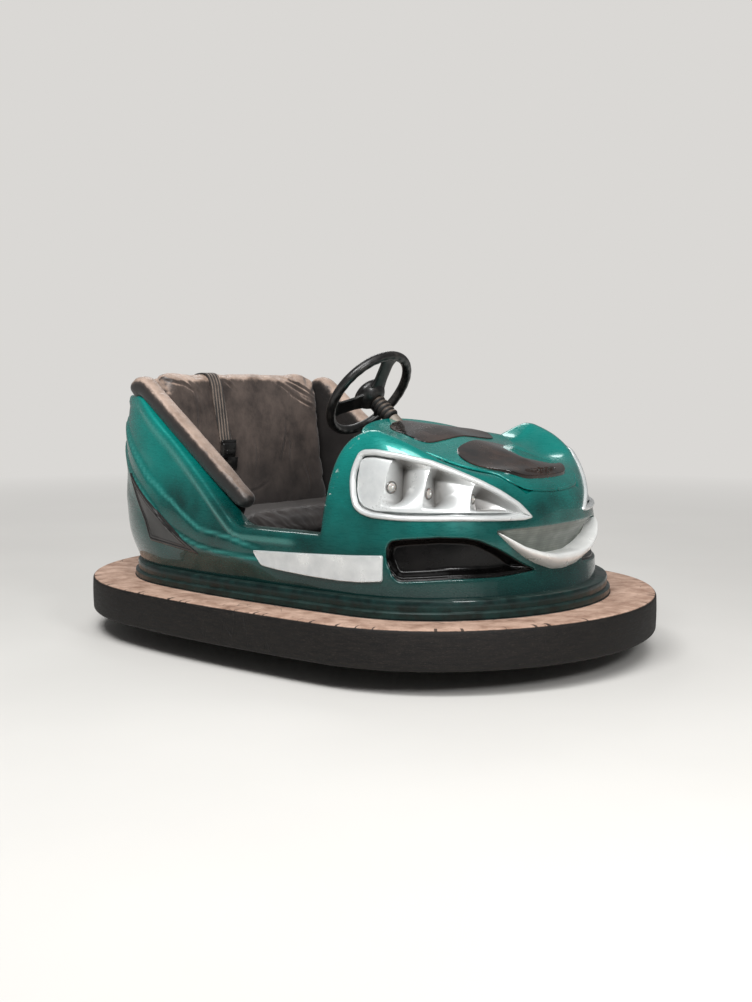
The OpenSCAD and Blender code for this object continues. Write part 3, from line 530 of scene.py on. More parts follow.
# Bumper ring, moulded rubber: black scuffed side wall, and a top worn to a dry pinkish tan with dark spots
def wornRingRubber():
    f = Finish("wornMouldedRubber", Roughness=0.72, Specular_IOR_Level=0.3)
    scuff = f.patches(42, 9, 0.75, (1, 1, 9))
    spots = f.patches(14, 5, 0.7)
    side = f.coats("040303", ("1E1A17", (scuff, (0.42, 0), (0.64, 1))),
                   ("6A5F55", (f.patches(9, 6, 0.7, (1, 1, 9)), (0.58, 0), (0.76, 0.5))))
    ridge = f.add("TexVoronoi", "Distance", {"feature": "DISTANCE_TO_EDGE"}, Scale=16.0,
                  Vector=f.add("Mapping", Vector=f.space, Scale=(1, 1, 0.2)))
    cracks = f.share((ridge, (0, 1), (0.012, 0)), (f.patches(220, 2), (0.55, 0), (0.62, 1)))
    # short dark ticks across the outer top edge, by the length along the ring
    along = f.share(maskNamed(f, "run"), 58.0)
    tick = f.add("TexNoise", "Fac", {"noise_dimensions": "1D"}, W=along, Scale=1.0, Detail=1.0)
    edge = (maskNamed(f, "across"), (0.020, 1), (0.028, 0))
    top = f.coats("8F705F", ("CDAE9B", (f.patches(60, 7, 0.65), (0.32, 0), (0.68, 1))),
                  ("54443A", (spots, (0.58, 0), (0.74, 0.5))), ("1E1714", cracks),
                  ("120D0B", (tick, (0.68, 0), (0.69, 1)), edge, 0.85))
    tone = f.coats(side, (top, (f.facing(spots, 0.22), (0.80, 0), (1, 1))))
    return f.done(Base_Color=tone, Roughness=f.share((scuff, (0.3, 0.55), (0.7, 0.85))),
                  Normal=f.relief((scuff, 1.6, 0.5), (spots, 1.2, 0.5), (f.share(cracks, -1.0), 2.0, 0.8)))


# Skirt, moulded and painted like the body, its teal darkened far below the body's as painted shade: dark gloss with
# dust on its flat tops
def dustySkirtPaintedShade():
    f = Finish("dustyTealMoulding", Roughness=0.34, Metallic=0.2, Coat_Weight=0.35, Coat_Roughness=0.08,
               Specular_IOR_Level=0.25)
    cloud = f.patches(45, 6, 0.65)
    # painted shade: the skirt's teal is made much darker than the body's
    tone = f.coats("011615", ("032F2D", (cloud, (0.4, 0), (0.7, 1))),
                   ("3F4A45", (f.facing(), (0.25, 0), (0.8, 1)), (cloud, (0.3, 0.3), (0.6, 0.85)), 0.45),
                   ("14201F", (f.patches(16, 6, 0.7), (0.52, 0), (0.68, 0.6))))
    return f.done(Base_Color=tone, Roughness=f.share((cloud, (0.35, 0.3), (0.7, 0.6))),
                  Normal=f.relief((cloud, 0.8, 0.3)))


# Hood panels and intakes, moulded ABS with a high gloss: nearly black with a brown cast and soft reflections; the
# warm patches are the brown cast, and on the hood panels they are lighter, partly a painted reflection
def blackGlossMoulding(name, base="020202", brownCastAndReflection="080606", shine=0.15):
    f = Finish(name, Roughness=0.16, Coat_Weight=shine, Coat_Roughness=0.04, Specular_IOR_Level=0.2)
    cloud = f.patches(70, 4)
    tone = f.coats(base, (brownCastAndReflection, (cloud, (0.35, 0), (0.7, 1))),
                   ("4A3A34", (f.patches(30, 7, 0.7), (0.62, 0), (0.8, 0.16))))
    return f.done(Base_Color=tone, Roughness=f.share((cloud, (0.35, 0.16), (0.7, 0.36))),
                  Normal=f.relief((f.patches(120, 1), 1.6, 0.4)))


# Lamp housings, sill panels and lip: silver paint under a satin coat, with faint scratches, and grime and painted
# shade in the corners and pockets
def silverPaint(name, base="D3D5D4", shade="B2B6B7"):
    f = Finish(name, Roughness=0.3, Metallic=0.3, Coat_Weight=0.5, Coat_Roughness=0.1)
    cloud = f.patches(55, 5, 0.6)
    tone = f.coats(base, (shade, (cloud, (0.35, 0), (0.7, 0.7))),
                   ("6E7072", (f.patches(7, 6, 0.7), (0.66, 0), (0.74, 0.5))),
                   # grime and painted shade, darker the deeper a lamp pocket runs
                   ("605C58", maskNamed(f, "well"), 0.85))
    return f.done(Base_Color=tone, Roughness=f.share((cloud, (0.35, 0.26), (0.7, 0.42))),
                  Normal=f.relief((f.patches(90, 1), 1.0, 0.25)))


# Lamps, moulded clear acrylic over a pale reflector: a milky glassy dot with a sharp highlight
def lampLens():
    f = Finish("mouldedAcrylicLens", Roughness=0.08, Coat_Weight=1.0, Coat_Roughness=0.02, Subsurface_Weight=0.15)
    haze = f.coats("CFC6BE", ("F0ECE6", f.patches(6, 2)))
    rim = f.share((maskNamed(f, "rim"), (0, 1), (0.4, 0.5), (1, 0.12)))
    tone = f.add("Mix", 2, {"data_type": "RGBA", "blend_type": "MULTIPLY"}, i0=1.0, i6=haze, i7=rim)
    return f.done(Base_Color=tone)


# Mouth insert, moulded polycarbonate with fine reeding: a soft grey sheen with thin streaks
def greyInsert():
    f = Finish("reededGreyPolycarbonate", Roughness=0.42, Coat_Weight=0.35, Coat_Roughness=0.2)
    reed = f.add("TexWave", "Fac", {"bands_direction": "Z"}, Vector=f.space, Scale=48.0, Distortion=0.6, Detail=1.0)
    tone = f.coats("50564F", ("7E827A", (f.patches(60, 4), (0.35, 0), (0.7, 1))), ("3E433E", reed, 0.35))
    return f.done(Base_Color=tone, Normal=f.relief((reed, 0.5, 0.5)))


# Vents, moulded ABS: brown-black, dull with dust inside
def ventMoulding():
    f = Finish("dustyBlackMoulding", Roughness=0.4, Coat_Weight=0.5, Coat_Roughness=0.12)
    return f.done(Base_Color=f.coats("070606", ("1A1513", (f.patches(40, 6, 0.7), (0.38, 0), (0.7, 1)))))


# Seat covers, grained vinyl over foam: dark brown with a dry dusty sheen, tan on the tops from dust and wear and
# from painted light, and darker towards the bottom as painted shadow
def wornVinyl(name, darkAndShadedBelow):
    f = Finish(name, Roughness=0.5, Coat_Weight=0.12, Coat_Roughness=0.3, Sheen_Weight=0.15)
    height = f.add("SeparateXYZ", "Z", Vector=f.space)
    grain = f.add("TexVoronoi", "Distance", {"feature": "DISTANCE_TO_EDGE"}, Vector=f.space, Scale=520.0)
    cloud = f.patches(75, 7, 0.68)
    streak = f.patches(30, 7, 0.7, (1, 1, 0.5))
    tan = f.coats("927C6E", ("BFA797", (cloud, (0.35, 0), (0.65, 1))))
    # the down-facing sides of a roll are made nearly black, partly dark vinyl and partly painted shade, with a
    # ragged edge to its tan top
    tone = f.coats("332A26", ("5C4F48", (cloud, (0.34, 0), (0.66, 1))),
                   ("6F6057", (streak, (0.5, 0), (0.76, 0.35))),
                   # the tan top: dust and wear, and painted light where the cover faces up; kept off the low parts,
                   # which lie in painted shadow
                   (tan, (f.facing(streak, 0.9, 0.5), (0.30, 0), (0.62, 0.92)), (height, (0.43, 0), (0.5, 1))),
                   # painted shadow: darker towards the bottom of the seat
                   ("120E0D", (height, (0.36, 0.85), (0.62, 0))),
                   # painted shade on the down-facing sides of the rolls, with dark vinyl
                   ("0E0B0A", (f.facing(streak, 0.5, 0.5), (0.1, 1), (0.42, 0)), darkAndShadedBelow))
    return f.done(Base_Color=tone, Roughness=f.share((cloud, (0.3, 0.40), (0.7, 0.62))),
                  Normal=f.relief((streak, 1.0, 0.35), (f.share((grain, (0, 0), (0.22, 1))), 0.12, 0.4)))


# Belt webbing, woven polyester: near black, with the ribs' crests lighter tan in patches
def wovenWebbing():
    f = Finish("wovenPolyesterWebbing", Roughness=0.75, Sheen_Weight=0.3)
    weave = f.add("TexWave", "Fac", {"bands_direction": "Z"}, Vector=f.space, Scale=150.0, Distortion=1.0)
    rib = f.add("SeparateXYZ", "Y", Vector=f.space)
    for operation, value in (("MULTIPLY", belt["ribs"] / belt["width"]), ("ADD", 100.0), ("MULTIPLY", math.pi),
                             ("SINE", 0.0), ("ABSOLUTE", 0.0)):
        rib = f.add("Math", 0, {"operation": operation}, i0=rib, i1=value)
    tone = f.coats("151312", ("2A2623", (weave, (0.3, 0), (0.7, 1))),
                   ("8B7A6D", (rib, (0.55, 0), (0.95, 1)), (f.patches(26, 6, 0.7), (0.3, 0.35), (0.6, 0.9))))
    return f.done(Base_Color=tone, Normal=f.relief((weave, 0.35, 0.6)))


# Black moulded plastic and foam rim: satin, finely pitted, greyed a little where hands rub
def blackMoulding(name, base="121111"):
    f = Finish(name, Roughness=0.36, Coat_Weight=0.25, Coat_Roughness=0.2)
    rub = f.patches(38, 6, 0.7)
    return f.done(Base_Color=f.coats(base, ("4A4540", (rub, (0.5, 0), (0.75, 0.5)))),
                  Roughness=f.share((rub, (0.35, 0.3), (0.7, 0.5))), Normal=f.relief((f.patches(1.6), 0.08, 0.5)))


# Steering boot, moulded rubber bellows: matt black with dust caught on its ribs
def ribbedRubber():
    f = Finish("mouldedBootRubber", Roughness=0.6)
    dust = f.patches(12, 5)
    tone = f.coats("161413", ("7D6E61", (f.facing(), (0.2, 0), (0.9, 1)), (dust, (0.35, 0.3), (0.6, 0.8))))
    return f.done(Base_Color=tone, Normal=f.relief((dust, 0.3, 0.4)))


# Chassis parts, sprayed enamel over steel: dull, chipped and dusty
def chassisPaint(name, base, worn):
    f = Finish(name, Roughness=0.5, Metallic=0.1)
    cloud = f.patches(60, 7, 0.65)
    chips = f.patches(12, 8, 0.7)
    tone = f.coats(base, (worn, (cloud, (0.4, 0), (0.66, 0.8))), ("6A4A35", (chips, (0.66, 0), (0.7, 0.8))))
    return f.done(Base_Color=tone, Roughness=f.share((cloud, (0.35, 0.4), (0.7, 0.7))),
                  Normal=f.relief((chips, 0.3, 0.4)))


# Hubs and shafts, turned steel: bright with fine turning marks and a little oil
def turnedSteel():
    f = Finish("turnedSteel", Roughness=0.3, Metallic=1.0)
    marks = f.patches(14, 4, squeeze=(1, 12, 1))
    return f.done(Base_Color=f.coats("A6A6A4", ("6B655E", (f.patches(30, 5), (0.4, 0), (0.7, 1)))),
                  Roughness=f.share((marks, (0.3, 0.22), (0.7, 0.45))), Normal=f.relief((marks, 0.1, 0.5)))


# Motor, sand cast iron under thin paint: dark, rough and matt
def castIron():
    f = Finish("sandCastIron", Roughness=0.68, Metallic=0.4)
    return f.done(Base_Color=f.coats("2A2B2D", ("4B463F", (f.patches(50, 5), (0.4, 0), (0.65, 1)))),
                  Normal=f.relief((f.patches(3.5, 5), 0.6, 0.6)))


# Seat box, plywood stained black: thin stain with the grain showing through
def stainedPlywood():
    f = Finish("blackStainedPlywood", Roughness=0.6)
    grain = f.patches(90, 9, 0.7, (6, 1, 6), Distortion=0.6)
    return f.done(Base_Color=f.coats("1B1714", ("43382F", (grain, (0.4, 0), (0.66, 1)))),
                  Normal=f.relief((grain, 0.3, 0.4)))


# Tyres, solid moulded rubber: matt black, scuffed grey round the tread
def solidTyreRubber():
    f = Finish("solidTyreRubber", Roughness=0.75)
    scuff = f.patches(18, 8, 0.72)
    return f.done(Base_Color=f.coats("141312", ("4C4640", (scuff, (0.45, 0), (0.7, 1)))),
                  Normal=f.relief((scuff, 0.5, 0.5)))


# The body shell

shell = {
    "rowStep": 0.0085,      # metres between stations along the wall
    "levels": 112,          # rows of points from the foot to the middle line
    "sillRound": 0.017, "rimRound": 0.010, "fenderRound": 0.020, "openingRound": 0.0045,
    "beadOut": 0.0045, "beadHeight": 0.026,
    "flange": 0.03, "innerDrop": 0.225, "openingDepth": 0.03,
}

# Side view of the rim: rear deck, slope, sill and the rounded rear edge of the fender, x and z
fenderEdge = [(0, 14), (2, 60), (6, 150), (14, 196), (28, 232), (50, 262), (84, 285), (104, 300), (150, 330)]


def roundedLine(points, radius, steps=8):
    pts = [np.array(p, float) for p in points]
    out = [pts[0]]
    for a, b, c in zip(pts, pts[1:], pts[2:]):
        u, v = unit(a - b), unit(c - b)
        reach = min(radius, 0.45 * np.linalg.norm(a - b), 0.45 * np.linalg.norm(c - b))
        p, q = b + u * reach, b + v * reach
        for k in range(steps + 1):
            w = k / steps
            out.append((1 - w) ** 2 * p + 2 * w * (1 - w) * b + w * w * q)
    out.append(pts[-1])
    return np.array(out)


rimLine = roundedLine([(-1.2, car["rearRimZ"]), (car["slopeX"], car["rearRimZ"]), (car["sillRearX"], car["sillZ"]),
                       (car["fenderX"] - 0.002, car["sillZ"])]
                      + [(car["fenderX"] + a / 1000, car["sillZ"] + b / 1000) for a, b in fenderEdge], 0.03)


# Signed distance of points from a line in a plane, positive on its left side, and the place along it
def fromLine(line, p):
    best = np.full(p.shape[:-1], 1e9)
    sign = np.ones(p.shape[:-1])
    for a, b in zip(line, line[1:]):
        d = b - a
        w = np.clip(((p - a) @ d) / (d @ d), 0, 1)
        gap = p - (a + w[..., None] * d)
        dist = np.linalg.norm(gap, axis=-1)
        side = np.sign(d[0] * gap[..., 1] - d[1] * gap[..., 0])
        nearer = dist < best - 1e-9
        best = np.where(nearer, dist, best)
        sign = np.where(nearer & (side != 0), side, sign)
    return best * sign


# Distance outside the cockpit's rounded outline in plan, negative inside
def fromCockpit(x, y):
    r = car["cockpitR"]
    # the hole's front end runs forward from the fenders' edge to the middle, so that the two join smoothly
    towardsMiddle = ease((car["cockpitHalf"] - np.abs(y)) / 0.09)
    frontX = car["fenderX"] + (car["cockpitFrontX"] - car["fenderX"]) * towardsMiddle
    dx = np.maximum(car["cockpitRearX"] + r - x, 0)
    dy = np.maximum(np.abs(y) - (car["cockpitHalf"] - r), 0)
    plain = np.maximum(np.abs(y) - car["cockpitHalf"], car["cockpitRearX"] - x)
    rear = np.where((dx > 0) & (dy > 0), np.hypot(dx, dy) - r, plain)
    return np.maximum(rear, x - frontX)


# What is cut away of the body has a positive value
def cutValue(p):
    aboveRim = fromLine(rimLine, p[..., [0, 2]])
    inHole = np.where(p[..., 0] > 0.1, -fromCockpit(p[..., 0], p[..., 1]), -1.0)
    return np.maximum(aboveRim, inHole)


# Outlines of the openings by station and height: the low edge, then the high edge backwards
openings = {
    "cluster": dict(
        low=[(1.08, 418), (1.3, 414), (3, 420), (4.84, 420), (5.83, 425), (6.6, 434), (6.95, 450), (7.06, 480),
             (7.12, 520)],
        high=[(1.08, 424), (1.39, 460), (1.84, 495), (2.3, 522), (3.02, 554), (3.87, 575), (5.02, 592),
              (6.04, 601), (6.9, 599), (7.03, 590), (7.08, 570), (7.12, 545)]),
    "intake": dict(
        low=[(1, 279), (1.98, 271), (3.15, 272), (4.85, 264), (5.04, 276), (5.26, 320)],
        high=[(1, 282), (1.44, 306), (1.98, 343), (2.45, 369), (2.78, 377), (3.52, 380), (4.82, 373),
              (5.14, 368), (5.26, 352)]),
    "sill": dict(
        low=[(5.33, 262), (6.24, 256), (7.16, 254), (7.86, 257), (8.52, 264), (8.8, 271), (8.93, 306)],
        high=[(5.33, 331), (7.16, 324), (8.06, 318), (8.93, 312)]),
    "vent": dict(
        low=[(9.82, 280), (11.28, 300), (11.48, 352), (11.81, 412), (12.17, 488)],
        high=[(9.82, 285), (10.06, 316), (10.33, 350), (11.32, 420), (12.17, 498)]),
    "mouth": dict(
        low=[(0, 305), (0.55, 308), (0.96, 321), (1.45, 345), (1.9, 375), (2.03, 384)],
        high=[(0, 392), (1.45, 393), (2.03, 391)]),
}

# Length along the wall from the nose at each station, to measure outlines in real lengths
stationAt = np.linspace(0, lastRow, 1500)
wallRun = bodyPoint(stationAt, levelAt(stationAt, 0.42 + 0 * stationAt))
runAt = runOf(wallRun)


def toRun(t):
    return np.sign(t) * np.interp(np.abs(t), stationAt, runAt)


def toStation(run):
    return np.sign(run) * np.interp(np.abs(run), runAt, stationAt)


# A closed outline in run and height, evenly spaced, with its corners rounded
def outlineOf(name, radius=0.012, count=240, mirrorNose=False):
    o = openings[name]
    low = [(float(toRun(t)), z / 1000) for t, z in o["low"]]
    high = [(float(toRun(t)), z / 1000) for t, z in o["high"]]
    loop = low + high[::-1]
    if mirrorNose:
        loop = low + high[::-1] + [(-a, b) for a, b in high[1:]] + [(-a, b) for a, b in low[::-1][:-1]]
    seam = (np.array(loop[-1]) + loop[0]) / 2
    closed = roundedLine([seam] + loop + [seam], radius)
    return evenly(closed, count)


def evenly(line, count, closed=True):
    run = runOf(line)
    at = np.linspace(0, run[-1], count + 1)[:-1] if closed else np.linspace(0, run[-1], count)
    return np.stack([np.interp(at, run, line[:, k]) for k in range(line.shape[1])], axis=1)


# Moves a closed anticlockwise loop inwards, and less where it would meet itself
def inset(loop, amount):
    ahead, behind = np.roll(loop, -1, 0), np.roll(loop, 1, 0)
    d = unit(ahead - behind)
    inward = np.stack([-d[:, 1], d[:, 0]], axis=1)
    gap = loop[None] - loop[:, None]
    along = (gap * inward[:, None]).sum(-1)
    room = np.where(along > 1e-6, (gap ** 2).sum(-1) / (2 * np.maximum(along, 1e-6)), 9).min(1)
    step = np.sign(amount) * np.minimum(abs(amount), 0.92 * room) if amount > 0 else np.full(len(loop), amount)
    return loop + inward * step[:, None]


def fromLoop(loop, p):
    best, inside = np.full(p.shape[:-1], 1e9), np.zeros(p.shape[:-1], bool)
    for a, b in zip(loop, np.roll(loop, -1, 0)):
        d = b - a
        w = np.clip(((p - a) @ d) / (d @ d), 0, 1)
        best = np.minimum(best, np.linalg.norm(p - (a + w[..., None] * d), axis=-1))
        cross = (a[1] > p[..., 1]) != (b[1] > p[..., 1])
        slope = (b[0] - a[0]) * (p[..., 1] - a[1]) / np.where(b[1] == a[1], 1e-9, b[1] - a[1]) + a[0]
        inside ^= cross & (p[..., 0] < slope)
    return np.where(inside, best, -best)


clusterLoop = outlineOf("cluster")
intakeLoop = outlineOf("intake")
mouthLoop = outlineOf("mouth", mirrorNose=True)

# Creases of the rear quarter, station and height, that fade out round the tail
creases = [
    dict(line=[(8.7, 310), (9.33, 340), (9.83, 355), (10.38, 426), (11.38, 487), (12.05, 565), (12.7, 640),
               (13.6, 700)],
         step=0.0085, fade=0.10),
    dict(line=[(8.5, 288), (8.96, 291), (9.5, 297), (9.82, 306), (10.15, 328), (11.32, 420), (12.17, 498),
               (13, 590), (13.8, 660)],
         step=0.007, fade=0.07),
]


# For each crease, the distance below its line and how much it shows between its two ends
def creasesAt(t, z):
    for c in creases:
        line = np.array(c["line"], float) / [1, 1000]
        slope = np.abs(np.gradient(line[:, 1], toRun(line[:, 0])))
        below = (np.interp(t, line[:, 0], line[:, 1]) - z) / np.sqrt(1 + np.interp(t, line[:, 0], slope) ** 2)
        yield c, below, ease((t - line[0, 0]) / 0.5) * ease((line[-1, 0] - t) / 0.9)


# How far the wall stands out below the creases
def creaseOut(t, z):
    return sum(c["step"] * ease((below + 0.0045) / 0.009) * (1 - ease(below / c["fade"])) * ends
               for c, below, ends in creasesAt(t, z))


# A painted highlight line along each crease
def creaseHighlightLine(t, z):
    return sum(np.exp(-((below - 0.001) / 0.0036) ** 2) * ends for c, below, ends in creasesAt(t, z))


def makeBody():
    # stations that lie evenly along the wall, and levels that lie evenly up a middle station
    columns = int(runAt[-1] / shell["rowStep"])
    t = np.interp(np.linspace(0, runAt[-1], columns + 1), runAt, stationAt)
    climb = runOf(bodyPoint(np.full(400, 6.0), np.linspace(0, 6, 400)))
    s = np.interp(np.linspace(0, climb[-1], shell["levels"] + 1), climb, np.linspace(0, 6, 400))
    tt, ss = np.meshgrid(t, s, indexing="ij")
    piece = gridSheet("bodyShell", bodyPoint(tt, ss))
    ts = np.stack([tt.ravel(), ss.ravel()], axis=1)

    def parts(ts):
        p = bodyPoint(ts[:, 0], ts[:, 1])
        rz = np.stack([toRun(ts[:, 0]), p[:, 2]], axis=1)
        values = [cutValue(p) + roundOf(p)]
        low = ts[:, 1] < 4.2
        for loop, grow in ((clusterLoop, -0.006), (intakeLoop, 0), (mouthLoop, 0)):
            near = (rz[:, 0] > loop[:, 0].min() - 0.05) & (rz[:, 0] < loop[:, 0].max() + 0.05) & low
            v = np.full(len(ts), -1.0)
            v[near] = fromLoop(loop, rz[near]) + grow + (shell["openingRound"] if grow == 0 else 0)
            values.append(v)
        return np.stack(values, axis=1)

    def roundOf(p):
        sill = ease((p[:, 0] - car["sillRearX"] + 0.05) / 0.05)
        fender = ease((p[:, 2] - car["sillZ"] - 0.01) / 0.05) * (p[:, 0] > 0.2)
        return shell["rimRound"] + (shell["sillRound"] - shell["rimRound"]) * sill * (1 - fender) \
            + (shell["fenderRound"] - shell["rimRound"]) * fender

    # the way that a cut value rises fastest over the surface, by its two slopes, in stations and levels
    def uphill(here, which, dt, ds, h=0.004):
        rows = np.arange(len(here))
        gt, gs = ((parts(here + way)[rows, which] - parts(here - way)[rows, which]) / (2 * h)
                  for way in ([h, 0], [0, h]))
        e, f, g = (dt * dt).sum(1), (dt * ds).sum(1), (ds * ds).sum(1)
        det = np.maximum(e * g - f * f, 1e-9)
        return gt, gs, (g * gt - f * gs) / det, (e * gs - f * gt) / det

    # delete the faces that lie in an opening or above the rim
    faces = np.array([list(f.vertices) for f in piece.data.polygons])
    gone = parts(ts[faces].mean(1)).max(1) > 0
    pick(piece)
    bpy.ops.object.mode_set(mode="EDIT")
    bpy.ops.mesh.select_mode(type="FACE")
    bpy.ops.mesh.select_all(action="DESELECT")
    bpy.ops.object.mode_set(mode="OBJECT")
    piece.data.polygons.foreach_set("select", gone)
    key = piece.data.attributes.new("ts", "FLOAT2", "POINT")
    key.data.foreach_set("vector", ts.ravel())
    bpy.ops.object.mode_set(mode="EDIT")
    bpy.ops.mesh.delete(type="FACE")
    bpy.ops.object.mode_set(mode="OBJECT")
    count = len(piece.data.vertices)
    ts = np.empty(count * 2)
    piece.data.attributes["ts"].data.foreach_get("vector", ts)
    ts = ts.reshape(-1, 2)

    # the vertices on a cut edge slide along the surface until they lie on the outline
    onSeam = (ts[:, 0] < 1e-6) | (ts[:, 0] > lastRow - 1e-6)
    onSpine = ts[:, 1] > 6 - 1e-6
    onFoot = ts[:, 1] < 1e-6
    free = [(a, b) for a, b in openEdges(piece) if not any(on[a] and on[b] for on in (onSeam, onSpine, onFoot))]
    border = np.unique(np.array(free).ravel())
    which = parts(ts[border]).argmax(1)
    for _ in range(6):
        here = ts[border]
        value = parts(here)[np.arange(len(border)), which]
        gt, gs, a, b = uphill(here, which, *bodyFrame(here[:, 0], here[:, 1])[:2])
        step = np.clip(value / np.maximum(a * gt + b * gs, 0.05), -0.02, 0.02)
        ts[border, 0] -= np.where(onSeam[border], 0, a * step)
        ts[border, 1] -= b * step
        ts[:, 0] = np.clip(ts[:, 0], 0, lastRow)
        ts[:, 1] = np.clip(ts[:, 1], 0, 6)

    # ease the rows next to the edge, so that no face there is squeezed
    fixed = onSeam | onSpine | onFoot
    fixed[border] = True
    neighbours = [[] for _ in range(count)]
    for e in piece.data.edges:
        a, b = e.vertices
        neighbours[a].append(b)
        neighbours[b].append(a)
    band = set(border.tolist())
    for _ in range(3):
        band |= {n for v in band for n in neighbours[v]}
    band = np.array([v for v in band if not fixed[v]])
    for _ in range(4):
        new = np.array([ts[neighbours[v]].mean(0) for v in band])
        ts[band] = 0.5 * ts[band] + 0.5 * new
    pos = bodyPoint(ts[:, 0], ts[:, 1])
    dt, ds, normal = bodyFrame(ts[:, 0], ts[:, 1])

    # creases, and the raised bead under the rear rim
    lower = np.clip(1 - (ts[:, 1] - 3.6) / 0.6, 0, 1)
    rimGap = -fromLine(rimLine, pos[:, [0, 2]])
    rear = ease((0.19 - pos[:, 0]) / 0.05)
    bead = shell["beadOut"] * (1 - ease((rimGap - shell["beadHeight"]) / 0.009)) * rear
    out = creaseOut(ts[:, 0], pos[:, 2]) * lower + bead
    # a painted highlight runs along the creases and the bead, and the paint is chipped on the fender's edge
    beadHighlightLine = np.exp(-((rimGap - shell["beadHeight"] - 0.002) / 0.005) ** 2)
    setMask(piece, "rubbed", lower * creaseHighlightLine(ts[:, 0], pos[:, 2]) + rear * beadHighlightLine)
    onFenderEdge = (pos[:, 0] > 0.2) * (pos[:, 2] > car["sillZ"] + 0.03) * (ts[:, 1] < 4.6)
    setMask(piece, "chipped", ease((0.034 - rimGap) / 0.02) * onFenderEdge)
    pos += normal * out[:, None]
    setCoords(piece, pos)

    # roll the cut edges over, then close them with a flange and an inner wall
    a, b = uphill(ts[border], which, dt[border], ds[border])[2:]
    beyond = unit(dt[border] * a[:, None] + ds[border] * b[:, None])
    seam = onSeam[border]
    beyond[seam, 1] = 0
    beyond = unit(beyond)
    inwardN = -normal[border]
    base = pos[border]
    isRim = which == 0
    radius = np.where(isRim, roundOf(base), shell["openingRound"])
    radius = np.where(which == 1, 0.001, radius)
    rings = []
    for k in range(1, 7):
        a = math.pi / 2 * k / 6
        rings.append(base + (beyond * math.sin(a) + inwardN * (1 - math.cos(a))) * radius[:, None])
    last = rings[-1]
    rearRim = isRim & ~((base[:, 0] > 0.2) & (base[:, 2] > car["sillZ"] + 0.012))
    # nearest place of the cockpit's outline for the rear rim and the sills
    r = car["cockpitR"]
    cx = np.maximum(last[:, 0], car["cockpitRearX"] + r)
    cy = np.minimum(last[:, 1], car["cockpitHalf"] - r)
    d = last[:, :2] - np.stack([cx, cy], axis=1)
    far = np.linalg.norm(d, axis=1, keepdims=True)
    target = last.copy()
    target[:, :2] = np.stack([cx, cy], axis=1) + d / np.maximum(far, 1e-6) * r
    flange = last + inwardN * shell["flange"]
    flange = np.where(rearRim[:, None], target, flange)
    flange = np.where((~isRim)[:, None], last + inwardN * 0.4 * shell["openingDepth"], flange)
    for k in (0.12, 0.5, 0.9):
        rings.append(last + (flange - last) * k)
    down = np.where(rearRim[:, None], np.array([0, 0, -1.0]), np.where(isRim[:, None], -beyond, inwardN))
    depth = np.where(rearRim, shell["innerDrop"] + flange[:, 2] - car["sillZ"],
                     np.where(isRim, 0.03, 0.6 * shell["openingDepth"]))
    rings.append(flange + down * 0.004)
    rings.append(flange + down * depth[:, None])
    for ring in rings:
        ring[seam, 1] = 0
    return extrudeRings(piece, border.tolist(), free, rings)


# Gives a piece its material and its body, and hides the CAD nodes that it stands for
def attach(piece, material, nodes, body="chassis"):
    piece.data.materials.clear()
    piece.data.materials.append(material)
    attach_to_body(piece, body)
    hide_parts(*nodes)


def dress(piece, material, nodes, angle=35, body="chassis"):
    turnOutward(piece)
    smooth(piece, angle)
    attach(piece, material, nodes, body)


bodyPaint = gelCoat()
body = mergeClose(pairOf("bodyShell", makeBody()), 0.0002)
dress(body, bodyPaint, ["body_shell"], 40)
print("body shell:", len(body.data.polygons), "faces")


# Bumper ring, its rubber section swept finely round the plan, and the skirt above it

ring = {"count": 520, "round": 0.010}


# Directions round the left half of the plan that lie evenly along the ring
def evenPhis(count):
    phi = np.linspace(0, 180, 4000)
    run = runOf(np.stack(plan(phi, 0), axis=1))
    return np.interp(np.linspace(0, run[-1], count // 2 + 1), run, phi)


# Sweeps a section of (inset, height) points round the plan. Half the loop is built and mirrored.
def sweepRing(name, section):
    section = np.array(section, float)
    x, y = plan(evenPhis(ring["count"])[:, None], section[None, :, 0])
    y[0], y[-1] = 0, 0
    left = gridSheet(name, np.stack([x, y, np.broadcast_to(section[:, 1], x.shape)], axis=-1))
    run = runOf(np.stack([x[:, 0], y[:, 0]], axis=1))
    setMask(left, "run", np.broadcast_to(run[:, None], x.shape))
    setMask(left, "across", np.broadcast_to(section[:, 0], x.shape))
    return mergeClose(pairOf(name, left))


def arcPoints(cx, cz, r, a0, a1, n=6):
    return [(cx - r * math.cos(v), cz + r * math.sin(v)) for v in np.radians(np.linspace(a0, a1, n))]


def makeRing():
    low, top, r, w = car["ringZ"], car["ringZ"] + car["ringH"], ring["round"], car["ringW"]
    wall = [(-0.001, low + 0.35 * (top - low)), (-0.001, low + 0.65 * (top - low))]
    crown = [(0.03, top + 0.0005), (0.06, top + 0.001), (0.1, top - 0.001), (w, top - 0.003)]
    return sweepRing("bumperRing", [(w, low), (w * 0.5, low)] + arcPoints(r, low + r, r, -90, 0) + wall
                     + arcPoints(r, top - r, r, 0, 90) + crown + [(w, (low + top) / 2), (w, low)])


def makeSkirt():
    low, top, a = car["ringZ"] + car["ringH"] - 0.002, car["footZ"], car["ringW"] + 0.002
    step = [(0.04, 0), (0.002, 0), (0, 0.003), (0, 0.016), (0.003, 0.0195), (0.009, 0.021), (0.0085, 0.03)]
    head = [(0.008, -0.007), (0.010, -0.002), (0.014, 0), (0.03, 0), (0.06, 0), (0.06, -0.006), (0.02, -0.006)]
    inside = [(0.02, 0.006), (0.04, 0.006), (0.04, 0)]
    section = [(a + x, level + z) for part, level in ((step, low), (head, top), (inside, low)) for x, z in part]
    return sweepRing("skirtBand", section)


dress(makeRing(), wornRingRubber(), ["bumper_ring"], 30)
dress(makeSkirt(), dustySkirtPaintedShade(), ["skirt"], 30)
print("ring and skirt ready")


# Bonnet, hood panels and trims

